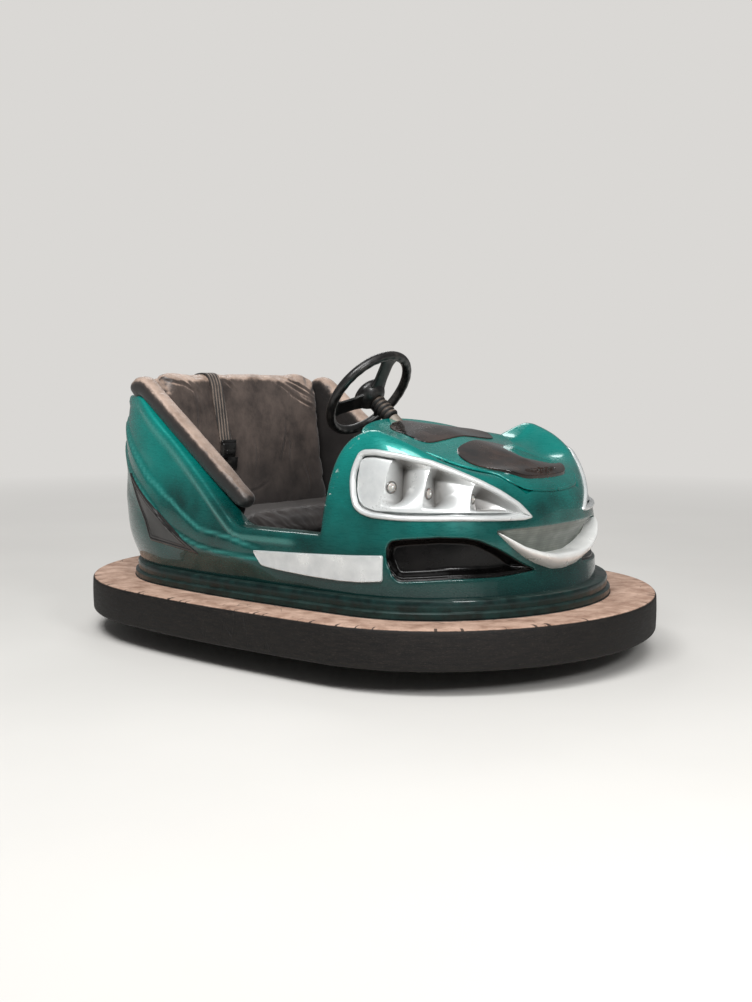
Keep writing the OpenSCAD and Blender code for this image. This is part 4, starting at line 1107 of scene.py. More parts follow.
hood = {
    # distance behind the nose on the middle line and at the side edge, and half width, as in the CAD part
    "bonnetRows": [(790, 706, 252), (730, 658, 252), (670, 616, 250), (610, 572, 246), (554, 534, 236),
                   (506, 504, 220), (452, 458, 206), (400, 410, 198), (346, 360, 188), (296, 312, 182),
                   (254, 272, 170), (220, 240, 140)],
    "rearRows": [(754, 706, 118), (706, 658, 150), (650, 614, 170), (590, 570, 180), (536, 534, 160)],
    "frontRows": [(490, 462, 128), (444, 424, 156), (390, 382, 168), (334, 338, 164), (286, 294, 146),
                  (250, 258, 110)],
    # how much the bonnet rises over the shell, in all and as a share by the distance behind the nose
    "rise": 0.025, "riseEnd": 0.175,
    "riseStops": [(0.205, 0.12), (0.25, 0.16), (0.29, 0.3), (0.35, 0.4), (0.42, 0.4), (0.496, 0.42),
                  (0.530, 0.52), (0.570, 0.75), (0.620, 0.95), (0.706, 1)],
    "across": 72, "along": 64, "bonnetRound": 0.005, "panelRise": 0.0034, "panelRound": 0.0024,
    "frontRise": 0.006, "letDown": 0.007,
}
noseX = car["ringLen"] / 2


def riseAt(x, y):
    behind = noseX - x
    stops = np.array(hood["riseStops"])
    share = np.interp(behind, stops[:, 0], stops[:, 1]) * ease((behind - hood["riseEnd"] + 0.012) / 0.02)
    return hood["rise"] * share * (1 - 0.25 * (np.abs(y) / 0.252) ** 6)


# Plan places of a cover: w runs from its rear edge to its front, u from its right side to its left
def coverPlan(rows, w, u):
    table = np.array(rows, float) / 1000
    at = np.linspace(0, len(table) - 1, 200)
    dense = bend(np.broadcast_to(table, (200,) + table.shape), at)
    mid, side, half = (np.interp(w * (len(table) - 1), at, dense[:, k]) for k in range(3))
    return noseX - mid - (side - mid) * u * u, half * u


# A plate that follows the hood: a gridded top whose edge rolls over, a side wall and an open underside
def coverPlate(name, rows, base, roundR, drop, lipDepth=0.0005):
    u, w = np.meshgrid(2 * crowd(hood["across"] + 1, 0.985) - 1, crowd(hood["along"] + 1, 0.985))
    # corners rounded: the grid's square is pulled towards a superellipse
    b = 2 * w - 1
    squeeze = np.sqrt(1 - 0.144 * u ** 8 * b ** 8)
    x, y = coverPlan(rows, 0.5 + 0.5 * b * squeeze, u * squeeze)
    piece = gridSheet(name, np.stack([x, y, topAt(x, y) + base(x, y)], axis=-1))
    rim = openEdges(piece)
    border = sorted({v for e in rim for v in e})
    near = {v: [] for v in border}
    for a, b in rim:
        near[a].append(b)
        near[b].append(a)
    loop = [border[0]]
    while len(loop) < len(border):
        loop.append([v for v in near[loop[-1]] if v not in loop[-2:]][0])
    pts = coords(piece)[loop]
    ahead = unit(np.roll(pts, -1, 0) - np.roll(pts, 1, 0))
    out = np.stack([ahead[:, 1], -ahead[:, 0], np.zeros(len(pts))], axis=1)
    if ((pts - pts.mean(0)) * out).sum() < 0:
        out = -out
    out = unit(out)
    # smooth the outward directions a little at the corners
    for _ in range(4):
        out = unit(0.5 * out + 0.25 * np.roll(out, 1, 0) + 0.25 * np.roll(out, -1, 0))
    rings = []
    for q in range(1, 6):
        ang = math.pi / 2 * q / 5
        rings.append(pts + out * roundR * math.sin(ang) - np.array([0, 0, roundR * (1 - math.cos(ang))]))
    # the edge turns under, so that a shadow line shows below it, and its foot stands further in
    under = rings[-1].copy()
    under[:, 2] -= 0.0015
    rings.append(under)
    foot = under - out * lipDepth
    rings.append(foot.copy())
    foot[:, 2] -= drop(pts[:, 0], pts[:, 1])
    rings.append(foot)
    rings.append(foot - out * 0.02)
    return extrudeRings(piece, loop, rim, rings)


# The shell is let down a little where the bonnet covers it, so that nothing pokes through
def letDownShell():
    rows = np.array(hood["bonnetRows"], float)[::-1] / 1000
    co = coords(body)
    half = np.interp(noseX - co[:, 0], rows[:, :2].mean(1), rows[:, 2], left=0.0, right=0.0)
    onTop = np.abs(co[:, 2] - topAt(co[:, 0], co[:, 1])) < 0.02
    co[:, 2] -= hood["letDown"] * ease((half - 0.004 - np.abs(co[:, 1])) / 0.012) * onTop
    setCoords(body, co)


def frontPanelRise(x, y):
    return riseAt(x, y) + hood["panelRise"] + hood["frontRise"] * ease((x - noseX + 0.36) / 0.08)


letDownShell()
bonnet = coverPlate("bonnet", hood["bonnetRows"], riseAt, hood["bonnetRound"],
                    lambda x, y: np.maximum(riseAt(x, y) - 0.004, 0.002), 0.010)
dress(bonnet, bodyPaint, ["bonnet"], 40)
rearPanel = coverPlate("hoodPanelRear", hood["rearRows"], lambda x, y: riseAt(x, y) + hood["panelRise"],
                       hood["panelRound"], lambda x, y: 0.004 + 0 * x)
frontPanel = coverPlate("hoodPanelFront", hood["frontRows"], frontPanelRise, hood["panelRound"],
                        lambda x, y: 0.010 + 0 * x)
# the hood panels' lighter warm patches are partly a painted reflection
panelGloss = blackGlossMoulding("brownBlackHoodPanel", "0C0705", "38271F", 1.0)
dress(joined("hoodPanels", [rearPanel, frontPanel]), panelGloss, ["hood_panels"], 40)
print("hood ready")


# Lamp clusters, intakes, sill panels, vents and the mouth

cluster = {
    # the bezel's section in millimetres, moved in and standing out
    "bezel": [(0, -1), (0.4, 2.2), (1.6, 4.8), (4, 6.8), (7, 7.4), (10, 6.8), (12.6, 5), (14, 2.4), (14.6, -1),
              (14.8, -6)],
    "pocketInset": 13.6,
    # where each step stands, how deep the recess starts behind it, and its lamp's height and radius
    "steps": [(5.24, 60, 509, 14.5), (3.80, 58, 494, 13.5), (2.42, 54, 480, 12)], "slant": 0.34,
    "face": 5.0, "groove": 15.0, "grooveWide": 5.5, "bulge": 24.0, "rows": 52,
}


# A closed outline on the wall as rows of the same loop, moved inwards and out from the wall
def loopRings(name, loop, table):
    rows = []
    for amount, out in table:
        moved = inset(loop, amount / 1000) if amount > 0 else loop
        rows.append(wallPoint(toStation(moved[:, 0]), moved[:, 1], out / 1000))
    rows = np.array(rows)
    piece = gridSheet(name, np.concatenate([rows, rows[:, :1]], axis=1))
    return mergeClose(piece, 0.00002, False)


# Lowest and highest point of a closed outline at each place along the wall
def loopSpan(loop, count=700):
    run = np.linspace(loop[:, 0].min() + 1e-5, loop[:, 0].max() - 1e-5, count)
    low, high = np.full(count, 9.0), np.full(count, -9.0)
    for a, b in zip(loop, np.roll(loop, -1, 0)):
        if a[0] == b[0]:
            continue
        lo, hi = min(a[0], b[0]), max(a[0], b[0])
        m = (run >= lo) & (run <= hi)
        z = a[1] + (b[1] - a[1]) * (run[m] - a[0]) / (b[0] - a[0])
        low[m], high[m] = np.minimum(low[m], z), np.maximum(high[m], z)
    return run, low, high


# A sheet over the inside of an outline, with its height off the wall given by out(run, z, edge), in metres
def loopSheet(name, loop, out, columns=150, rows=44):
    run, low, high = loopSpan(loop)
    r = run[0] + (run[-1] - run[0]) * crowd(columns, 0.97)
    lo, hi = np.interp(r, run, low), np.interp(r, run, high)
    v = crowd(rows, 0.94)
    rr = np.broadcast_to(r, (rows, columns))
    zz = lo[None] + (hi - lo)[None] * v[:, None]
    edge = np.abs(fromLoop(loop, np.stack([rr, zz], axis=-1).reshape(-1, 2))).reshape(rr.shape)
    return gridSheet(name, wallPoint(toStation(rr), zz, out(rr, zz, edge)))


def makePocket():
    inner = inset(clusterLoop, cluster["pocketInset"] / 1000)
    run, low, high = loopSpan(inner)
    v = crowd(cluster["rows"], 0.9)
    bulge = cluster["bulge"] / 1000 * (1 - v ** 2.2)
    stepRun = [float(toRun(s[0])) for s in cluster["steps"]]
    # places along the wall, heights and depths of each column of points, and how much grime and painted shade it
    # gets
    columns, grimeAndShadeShares = [], []

    def heights(r):
        r = np.clip(r, run[0], run[-1])
        return np.interp(r, run, low), np.interp(r, run, high)

    # a groove runs along the low edge, and the top edge rolls over
    def grooved(r, depth):
        lo, hi = heights(r)
        size = hi - lo
        z = lo + size * v
        wide = np.minimum(cluster["grooveWide"] / 1000, 0.2 * size)
        groove = np.minimum(cluster["groove"], 1 + 300 * size)
        d = depth + (groove - depth) * (1 - ease((z - lo - wide) / 0.003)) * (depth < groove + 30)
        fall = ease((hi - z) / 0.012)
        return z, np.where(hi - z < 0.012, np.maximum(d * fall + 2 * (1 - fall), 0), d)

    # the raised block at the rear
    rear = run[-1]
    for w in crowd(26, 0.85):
        base = rear + (stepRun[0] + 0.0012 - rear) * w
        r = np.clip(base + bulge * w ** 3, run[0], rear - 1e-5)
        lo, hi = heights(r)
        z = lo + (hi - lo) * v
        gap = np.minimum.reduce([z - lo, hi - z, rear - r])
        rise = np.sqrt(1 - (1 - np.clip((gap - 0.0045) / 0.006, 0, 1)) ** 2)
        face = cluster["face"] - 2.5 + 5.5 * (1 - v) ** 2
        columns.append((r, z, 12 + (face - 12) * rise))
        grimeAndShadeShares.append(0.45 * (1 - rise))
    for k, (station, deepest, lampZ, lampR) in enumerate(cluster["steps"]):
        last = k == len(cluster["steps"]) - 1
        power, crestGrow, bulged = (0.9, 0.32, 0) if last else (1.25, 0.56, bulge)
        start = stepRun[k] - 0.001
        end = run[0] + 0.0005 if last else stepRun[k + 1] + 0.0012
        for w in np.concatenate([[0, 0.015, 0.05], np.linspace(0.1, 0.9, 24), [0.95, 0.985, 1]]):
            deep = 5 + (deepest - 5) * (1 - w) ** power
            into = ease((v - 0.13) / (0.32 + crestGrow * w - 0.13)) ** 0.9
            depth = 4 + (deep - 4) * into
            lean = cluster["slant"] * depth / 1000 * (1 - w) ** 2
            bow = 0.004 * (1 - w) * np.sin(v * math.pi)
            r = np.clip(start + (end - start) * w + bulged * w ** 2 + bow - lean, run[0], rear)
            z, d = grooved(r, depth)
            columns.append((r, z, d))
            grimeAndShadeShares.append(np.clip(into * (deep - 6) / 40, 0, 1))
    r, z, d = (np.array([c[i] for c in columns]).T for i in range(3))
    piece = gridSheet("pocket", wallPoint(toStation(r), z, -d / 1000))
    setMask(piece, "well", np.array(grimeAndShadeShares).T)
    return piece


# A round lens in its ring with a bulb, standing on a place with a given direction
def makeLamp(name, place, axis, radius):
    clearSelection()
    bpy.ops.mesh.primitive_torus_add(major_radius=radius, minor_radius=radius * 0.16,
                                     major_segments=40, minor_segments=12)
    parts = [bpy.context.object]
    # the dome and the bulb: segments, size, how flat and how far forward
    for segments, size, flat, ahead in ((36, 0.9, 0.42, 0), (20, 0.26, 0.7, 0.34)):
        clearSelection()
        bpy.ops.mesh.primitive_uv_sphere_add(segments=segments, ring_count=segments // 2, radius=radius * size)
        parts.append(bpy.context.object)
        setCoords(parts[-1], coords(parts[-1]) * [1, 1, flat] + [0, 0, radius * ahead])
    for part, share in zip(parts, (1.0, 0.4, 0.0)):
        setMask(part, "rim", share)
    piece = joined(name, parts)
    turn = np.array(Vector(axis).to_track_quat("Z", "Y").to_matrix())
    setCoords(piece, coords(piece) @ turn.T + place)
    return piece


def makeLamps():
    lamps = []
    for k, (station, deepest, lampZ, lampR) in enumerate(cluster["steps"]):
        z = lampZ / 1000
        share = (z - 0.42) / 0.17
        edgeRun = float(toRun(station)) + 0.0012 + cluster["bulge"] / 1000 * (1 - share ** 2.2)
        deepRun = float(toRun(station)) + 0.003 - cluster["slant"] * 0.8 * deepest / 1000
        outer = wallPoint(toStation(edgeRun), z, -0.006)
        inner = wallPoint(toStation(deepRun), z, -0.8 * deepest / 1000)
        axis = unit(np.cross(np.array([0, 0, 1.0]), unit(inner - outer)))
        if axis[0] < 0:
            axis = -axis
        place = outer + (inner - outer) * 0.42 + axis * 0.002
        lamps.append(makeLamp("lamp" + str(k), place, axis, lampR / 1000))
    return joined("lampsLeft", lamps)


silver = silverPaint("satinSilverPaint")
bezel = loopRings("bezel", clusterLoop, cluster["bezel"])
setMask(bezel, "well", 0)
leftCluster = joined("lampClusterLeft", [bezel, makePocket()])
for piece, side in ((leftCluster, "left"), (mirrored(leftCluster, "lampClusterRight.001"), "right")):
    smooth(piece, 42)
    attach(piece, silver, ["lamp_cluster_" + side])
dress(pairOf("lamps", makeLamps()), lampLens(), ["lamps"], 40)
print("lamp clusters ready")

intakeSpan = loopSpan(intakeLoop)


# The intake's floor lies deep, with a shelf along its low edge
def intakeOut(run, z, edge):
    above = z - np.interp(run, intakeSpan[0], intakeSpan[1])
    floor = ease(above / 0.03)
    side = -0.005 - 0.026 * ease((edge - 0.0005) / 0.016)
    shelf = -0.008 - 0.02 * ease((above - 0.012) / 0.014) + 0.004 * np.exp(-((above - 0.011) / 0.004) ** 2)
    return np.where(above < 0.03, np.maximum(side, shelf) * (1 - floor) + side * floor, side)


intakeLeft = loopSheet("intake", inset(intakeLoop, -0.0004), intakeOut)
dress(pairOf("intakes", intakeLeft), blackGlossMoulding("blackGlossMoulding"), ["intakes"], 50)

sillLoop = outlineOf("sill", 0.007)
sillSpan = loopSpan(sillLoop)


# The sill panel stands out with a rounded edge and a hollow along its middle
def sillOut(run, z, edge):
    low, high = (np.interp(run, sillSpan[0], sillSpan[k]) for k in (1, 2))
    share = np.clip((z - low) / np.maximum(high - low, 1e-4), 0, 1)
    edgeRise = np.sqrt(1 - (1 - np.clip(edge / 0.0035, 0, 1)) ** 2)
    return -0.003 + (0.0105 - 0.0028 * np.sin(math.pi * share)) * edgeRise


sillPair = pairOf("sillPanels", loopSheet("sillPanel", sillLoop, sillOut, 130, 34))
setMask(sillPair, "well", 0)
dress(sillPair, silver, ["sill_panels"], 60)


# The vent follows the crease that it lies in, with a thin rib round its dished middle
def ventOut(run, z, edge):
    border = 0.0005 + 0.0022 * ease(edge / 0.003) - 0.002 * ease((edge - 0.006) / 0.004)
    return creaseOut(toStation(run), z) + border + 0.0012 * np.exp(-((edge - 0.013) / 0.0016) ** 2)


ventLeft = loopSheet("vent", outlineOf("vent", 0.006), ventOut)
dress(pairOf("vents", ventLeft), ventMoulding(), ["vents"], 60)
print("intakes, sill panels and vents ready")

mouth = {
    "low": [(0, 272), (0.5, 276), (0.96, 296), (1.3, 316), (1.65, 344), (1.95, 375), (2.03, 386)],
    "mid": [(0, 318), (0.5, 319), (0.96, 331), (1.45, 350), (1.9, 379), (2.03, 388)],
    # how far the lip stands out, round the nose
    "pout": [(0, 36), (1, 35), (1.44, 26), (1.9, 12), (2.03, 6)],
    "high": [(0, 392), (1.45, 393), (2.03, 391)],
    # the lip's section: share of its height, and share of how far it stands out
    "lip": [(-0.03, -0.12), (0, 0.03), (0.03, 0.22), (0.08, 0.4), (0.16, 0.58), (0.26, 0.73), (0.38, 0.85),
            (0.5, 0.93), (0.62, 0.98), (0.73, 1), (0.82, 0.985), (0.89, 0.94), (0.94, 0.87), (0.975, 0.77),
            (0.99, 0.64), (1, 0.46), (1, 0.25), (0.995, 0.05)],
}


def mouthZ(which, t):
    table = np.array(mouth[which], float)
    pad = np.concatenate([-table[::-1][:-1] * [1, -1], table])
    soft = np.linspace(-2.03, 2.03, 400)
    z = np.interp(soft, pad[:, 0], pad[:, 1]) / 1000
    for _ in range(40):
        z[1:-1] = (z[:-2] + 2 * z[1:-1] + z[2:]) / 4
    return np.interp(t, soft, z)


def makeLip():
    t = (2 * crowd(161) - 1) * 2.03
    low, mid = mouthZ("low", t), mouthZ("mid", t)
    tall = np.maximum(mid - low, 0.0012)
    pout = np.interp(np.abs(t), *np.array(mouth["pout"]).T) / 1000
    rows = [wallPoint(t, low + tall * q, out * pout) for q, out in mouth["lip"]]
    rows += [wallPoint(t, mid - 0.001, inner) for inner in (-0.006, -0.016, -0.026)]
    return gridSheet("mouthLip", np.array(rows))


def makeInsert():
    t = np.linspace(-2.0, 2.0, 181)
    mid, high = mouthZ("mid", t), mouthZ("high", t)
    rows = []
    for v in crowd(34, 0.9):
        out = -0.024 + 0.021 * ease(v) ** 1.3 - 0.002 * np.sin(v * math.pi * 3) ** 2
        rows.append(wallPoint(t, mid - 0.003 + (high - mid + 0.006) * v, out))
    return gridSheet("mouthInsert", np.array(rows))


lip = makeLip()
setMask(lip, "well", 0)
# the lip gets a lighter copy of the silver paint, painted light on a face that turns away from the lamps
dress(lip, silverPaint("satinSilverLipPaintedBright", "F4F4F1", "DDDEDC"), ["mouth_lip"], 45)
dress(makeInsert(), greyInsert(), ["mouth_insert"], 60)
print("mouth ready")


# Seat cushions, belt and steering wheel

seat = {
    "voxel": 0.0068, "pressure": 4.0, "frames": 20,
    # side view of the back and the base as circles joined by a hull: x, z, radius
    "backSection": [(-0.547, 0.785, 0.026), (-0.482, 0.324, 0.023), (-0.552, 0.324, 0.021)],
    "backHalf": 0.378, "backCap": 0.016,
    "baseSection": [(-0.416, 0.324, 0.027), (-0.168, 0.324, 0.027), (-0.172, 0.340, 0.028),
                    (-0.416, 0.342, 0.026)],
    "baseHalf": 0.352, "baseCap": 0.016,
    # the roll along the sloping rim, in x and z, and the corners of the pad below it
    "rollLine": [(-0.551, 0.735), (-0.541, 0.7585), (-0.512, 0.7625), (-0.066, 0.4262)],
    "rollY": 0.407, "rollR": 0.030, "rollCap": 0.003,
    "padCorners": [(-0.554, 0.742), (-0.51, 0.734), (-0.115, 0.412), (-0.14, 0.34), (-0.554, 0.34)],
    "padY": 0.396,
    # creases of the vinyl on the back's front, in y and z, with their depth in millimetres
    "folds": [
        ([(0.170, 0.795), (0.192, 0.788), (0.270, 0.760), (0.336, 0.726)], 3.4),
        ([(0.202, 0.771), (0.260, 0.742), (0.313, 0.722)], 3.0),
        ([(0.217, 0.735), (0.268, 0.706), (0.330, 0.684)], 3.2),
        ([(0.150, 0.772), (0.190, 0.755), (0.236, 0.716)], 1.8),
        ([(-0.326, 0.779), (-0.290, 0.772), (-0.262, 0.764)], 2.4),
        ([(-0.288, 0.784), (-0.251, 0.761), (-0.220, 0.745), (-0.212, 0.700)], 2.8),
        ([(-0.256, 0.783), (-0.223, 0.757), (-0.205, 0.735)], 2.4),
        ([(-0.094, 0.782), (-0.066, 0.763), (-0.050, 0.748)], 2.2),
        ([(0.181, 0.640), (0.169, 0.579), (0.134, 0.510)], 2.6),
        ([(0.194, 0.585), (0.188, 0.540), (0.182, 0.505)], 2.0),
        ([(-0.214, 0.700), (-0.213, 0.662), (-0.235, 0.600)], 1.6),
        ([(0.02, 0.60), (0.03, 0.54), (0.01, 0.47)], 1.4),
        ([(0.08, 0.45), (0.02, 0.42), (-0.06, 0.41)], 1.8), ([(0.25, 0.50), (0.27, 0.44), (0.26, 0.38)], 2.0),
        ([(-0.30, 0.52), (-0.28, 0.46), (-0.25, 0.42)], 1.8),
        ([(-0.12, 0.36), (0.0, 0.352), (0.12, 0.36)], 2.0)],
    "baseFolds": [([(0.10, 0.385), (0.20, 0.386), (0.30, 0.384)], 2.4)],
}


# Even points round the hull of some circles, moved in by a distance
def hullSection(circles, count, movedIn):
    a = np.radians(np.linspace(0, 360, 2880, endpoint=False))
    d = np.stack([np.cos(a), np.sin(a)], axis=1)
    c = np.array(circles, float)
    r = np.maximum(c[:, 2] - movedIn, 0.0008)
    best = (d @ c[:, :2].T + r).argmax(1)
    line = c[best, :2] + d * r[best][:, None]
    line = np.concatenate([line, line[:1]])
    return evenly(line, count)


# A closed cushion: the hull section run across the car, its ends rounded over
def cushionForm(name, circles, half, count=90, rows=34):
    r = min(c[2] for c in circles)
    ends = [half - r + r * math.sin(math.pi / 2 * k / 8) for k in range(9)]
    insets = [r - r * math.cos(math.pi / 2 * k / 8) for k in range(9)]
    ys = list(np.linspace(-(half - r), half - r, rows)) + ends[1:]
    sets = [0] * rows + insets[1:]
    ys, sets = [-e for e in ends[1:][::-1]] + ys, insets[1:][::-1] + sets
    points = []
    for y, amount in zip(ys, sets):
        s = hullSection(circles, count, amount)
        s = np.concatenate([s, s[:1]])
        points.append(np.stack([s[:, 0], np.full(len(s), y), s[:, 1]], axis=1))
    piece = gridSheet(name, np.array(points))
    mergeClose(piece, 0.0001)
    closeEnds(piece)
    turnOutward(piece)
    return piece


# The roll on the sloping rim with the pad under it, for the left side
def sideForm(name):
    line = evenly(roundedLine(seat["rollLine"], 0.05, 8), 60, False)
    total = runOf(line)
    a = np.linspace(0, 2 * math.pi, 41)
    # a soft square, so that a ridge runs along the roll's upper inner side
    square = 1 / (np.abs(np.cos(a)) ** 3 + np.abs(np.sin(a)) ** 3) ** (1 / 3)
    rows = []
    for p, t, run in zip(line, unit(np.gradient(line, axis=0)), total):
        small = 1 - math.sqrt(max(1 - (1 - min(run / 0.026, (total[-1] - run) / 0.026, 1)) ** 2, 0))
        r = seat["rollR"] * (1 - 0.5 * small) * (1 - 0.14 * ease((run - total[-1] + 0.16) / 0.16)) * square
        up = np.array([-t[1], t[0]]) * (1 if t[0] >= 0 else -1)
        v = np.sin(a) * r
        rows.append(np.stack([p[0] + up[0] * v, seat["rollY"] - np.cos(a) * r, p[1] + up[1] * v], axis=1))
    roll = gridSheet("roll", np.array(rows))
    mergeClose(roll, 0.0001)
    closeEnds(roll)
    pad = cushionForm("pad", [(x, z, 0.0135) for x, z in seat["padCorners"]], 0.0145, 120, 3)
    setCoords(pad, coords(pad) + [0, seat["padY"], 0])
    return joined(name, [roll, pad])


# Voxel remesh, then cloth blown up gently inside its cover, each point kept within a cap
def stuffed(piece, cap, hold, voxel=None, rounds=4):
    modified(piece, "REMESH", mode="VOXEL", voxel_size=voxel or seat["voxel"])
    modified(piece, "SMOOTH", factor=0.5, iterations=rounds)
    start = coords(piece)
    group = piece.vertex_groups.new(name="held")
    share = hold(start)
    for level in (0.25, 0.5, 0.75, 1.0):
        chosen = np.where((share > level - 0.25) & (share <= level))[0]
        if len(chosen):
            group.add([int(v) for v in chosen], level, "REPLACE")
    pick(piece)
    bpy.ops.object.modifier_add(type="CLOTH")
    cloth = piece.modifiers[-1]
    s = cloth.settings
    s.quality = 4
    s.mass = 0.35
    s.use_pressure = True
    s.uniform_pressure_force = seat["pressure"]
    s.effector_weights.gravity = 0
    s.tension_stiffness, s.compression_stiffness, s.shear_stiffness, s.bending_stiffness = 14, 14, 6, 0.35
    s.shrink_min = -0.035
    s.vertex_group_mass = "held"
    cloth.collision_settings.use_collision = False
    cloth.point_cache.frame_start, cloth.point_cache.frame_end = 1, seat["frames"]
    for f in range(1, seat["frames"] + 1):
        bpy.context.scene.frame_set(f)
    bpy.ops.object.modifier_apply(modifier=cloth.name)
    move = coords(piece) - start
    far = np.linalg.norm(move, axis=1, keepdims=True)
    move = move * np.minimum(1, cap * np.tanh(far / cap) / np.maximum(far, 1e-9))
    setCoords(piece, start + move)
    bpy.context.scene.frame_set(1)
    piece.vertex_groups.clear()
    modified(piece, "SUBSURF", levels=1, render_levels=1)
    bpy.ops.object.shade_smooth()
    return piece


def normalsOf(piece):
    n = np.empty(len(piece.data.vertices) * 3)
    piece.data.vertices.foreach_get("normal", n)
    return n.reshape(-1, 3)


# Presses creases into a cushion along lines in y and z, with a low ridge beside each
def crease(piece, folds, front, width=0.0045):
    co, n = coords(piece), normalsOf(piece)
    yz = co[:, 1:]
    push = np.zeros(len(co))
    for line, depth in folds:
        line = evenly(roundedLine(line, 0.03, 6), 26, False)
        dist, at = np.full(len(co), 9.0), np.zeros(len(co))
        near = front(co) & (np.abs(yz - line.mean(0)).max(1) < 0.18)
        idx = np.where(near)[0]
        gap = np.linalg.norm(yz[idx, None] - line[None], axis=-1)
        dist[idx], at[idx] = gap.min(1), gap.argmin(1) / 25
        fade = np.sin(np.clip(at, 0.04, 0.96) * math.pi) ** 0.6
        side = np.sign(yz[:, 1] - np.interp(yz[:, 0], np.sort(line[:, 0]), line[np.argsort(line[:, 0]), 1]))
        ridge = 0.75 * np.exp(-((dist - 2.2 * width) / (1.3 * width)) ** 2) * (0.6 + 0.4 * side)
        push += fade * depth / 1000 * (ridge - np.exp(-(dist / width) ** 2))
    setCoords(piece, co + n * push[:, None])
    return piece


# What the cloth keeps still: the back's rear and foot, the base's underside, the rolls' outer side and foot
def backHold(p):
    rear = ease((-0.545 - p[:, 0]) / 0.02 + (p[:, 2] < 0.70)) * (p[:, 2] < 0.72)
    return np.maximum(rear, ease((0.33 - p[:, 2]) / 0.02))


def baseHold(p):
    return ease((0.335 - p[:, 2]) / 0.02)


def rollHold(p):
    return np.maximum(ease((p[:, 1] - 0.425) / 0.01) * 0.9, (p[:, 2] < 0.36) * 1.0)


vinyl = wornVinyl("grainedVinylCover", 0.0)
rollVinylShadedBelow = wornVinyl("grainedVinylRollShadedBelow", 0.9)

seatBack = cushionForm("seatBack", seat["backSection"], seat["backHalf"] - 0.006)
co = coords(seatBack)
co[:, 2] -= 0.026 * ease((np.abs(co[:, 1]) - 0.27) / 0.11) ** 1.5 * ease((co[:, 2] - 0.62) / 0.15)
setCoords(seatBack, co)
stuffed(seatBack, seat["backCap"], backHold)
crease(seatBack, seat["folds"], lambda p: p[:, 0] > -0.565)
seatBase = cushionForm("seatBase", seat["baseSection"], seat["baseHalf"] - 0.004)
stuffed(seatBase, seat["baseCap"], baseHold)
crease(seatBase, seat["baseFolds"], lambda p: p[:, 2] > 0.36)
print("seat back and base ready")
seatLeft = stuffed(sideForm("seatSideLeft"), seat["rollCap"], rollHold, 0.0055, 10)
seatRight = mirrored(seatLeft, "seatSideRight")
for piece, node, fill, cover in ((seatBack, "seat_back", 0.75, vinyl), (seatBase, "seat_base", 0.8, vinyl),
                                 (seatLeft, "seat_side_left", 0.85, rollVinylShadedBelow),
                                 (seatRight, "seat_side_right", 0.85, rollVinylShadedBelow)):
    attach(piece, cover, [node])
print("seat sides ready")

belt = {
    # over the top and down the front: x, z, and how far across it has shifted
    "line": [(-0.586, 0.752, 0), (-0.586, 0.788, 0), (-0.566, 0.8075, 0), (-0.540, 0.8085, 0),
             (-0.517, 0.797, 0.001), (-0.5065, 0.770, 0.003), (-0.501, 0.730, 0.006),
             (-0.4935, 0.670, 0.011), (-0.486, 0.615, 0.017), (-0.4815, 0.580, 0.021)],
    "y": -0.134, "width": 0.048, "thick": 0.0032, "ribs": 4, "ribHigh": 0.0011,
    # the buckle's parts: size, place, lean in degrees, edge round and its steps
    "buckle": [((0.017, 0.058, 0.050), (-0.4705, -0.1135, 0.5545), 8, 0.0045, 4),
               ((0.009, 0.063, 0.014), (-0.4685, -0.1135, 0.582), 8, 0.003, 4),
               ((0.006, 0.036, 0.016), (-0.4603, -0.1135, 0.549), 8, 0.0025, 4),
               ((0.004, 0.044, 0.042), (-0.4655, -0.101, 0.512), 10.4, 0.0015, 2)],
}


def makeStrap(name, line):
    line = np.array(line, float)
    path = evenly(roundedLine(line[:, :2], 0.02, 6), 90, False)
    run, own = runOf(path), runOf(line[:, :2])
    shift = np.interp(run / run[-1], own / own[-1], line[:, 2])
    d = unit(np.gradient(path, axis=0))
    out = np.stack([-d[:, 1], d[:, 0]], axis=1)
    if out[len(out) // 2].sum() < 0:
        out = -out
    across = np.linspace(-0.5, 0.5, 49)
    top = belt["thick"] + belt["ribHigh"] * np.abs(np.sin((across + 0.5) * math.pi * belt["ribs"])) ** 0.7
    section = [*zip(across, top), (0.5, 0.0006), (-0.5, 0.0006), (across[0], top[0])]
    rows = [[(p[0] + o[0] * h, belt["y"] + sh + a * belt["width"], p[1] + o[1] * h) for a, h in section]
            for p, o, sh in zip(path, out, shift)]
    return gridSheet(name, np.array(rows))


def roundedBox(size, place, lean, edgeRound, steps):
    clearSelection()
    bpy.ops.mesh.primitive_cube_add(size=1)
    piece = bpy.context.object
    setCoords(piece, coords(piece) * size)
    modified(piece, "BEVEL", width=edgeRound, segments=steps)
    x, y, z = coords(piece).T
    c, s = math.cos(math.radians(lean)), math.sin(math.radians(lean))
    setCoords(piece, np.stack([x * c + z * s, y, z * c - x * s], axis=1) + place)
    return piece


# The strap's line, laid on the finished cushion
def laidLine():
    cushion = coords(seatBack)
    laid = []
    for x, z, shift in belt["line"]:
        near = cushion[np.abs(cushion[:, 1] - belt["y"] - shift) < 0.03]
        if z > 0.79:
            top = near[np.abs(near[:, 0] - x) < 0.012]
            z = max(top[:, 2].max() + 0.001, z - 0.02) if len(top) else z
        elif x > -0.56:
            x = near[np.abs(near[:, 2] - z) < 0.010][:, 0].max() + 0.0012
        laid.append((x, z, shift))
    return laid


strapLine = laidLine()
dress(makeStrap("beltWebbing", strapLine), wovenWebbing(), ["belt_strap"], 60)
buckle = joined("beltBuckle", [roundedBox(*part) for part in belt["buckle"]])
setCoords(buckle, coords(buckle) + [strapLine[-1][0] - belt["line"][-1][0], 0, 0])
dress(buckle, blackMoulding("satinBlackNylon"), ["belt_buckle"], 35)
print("belt ready")

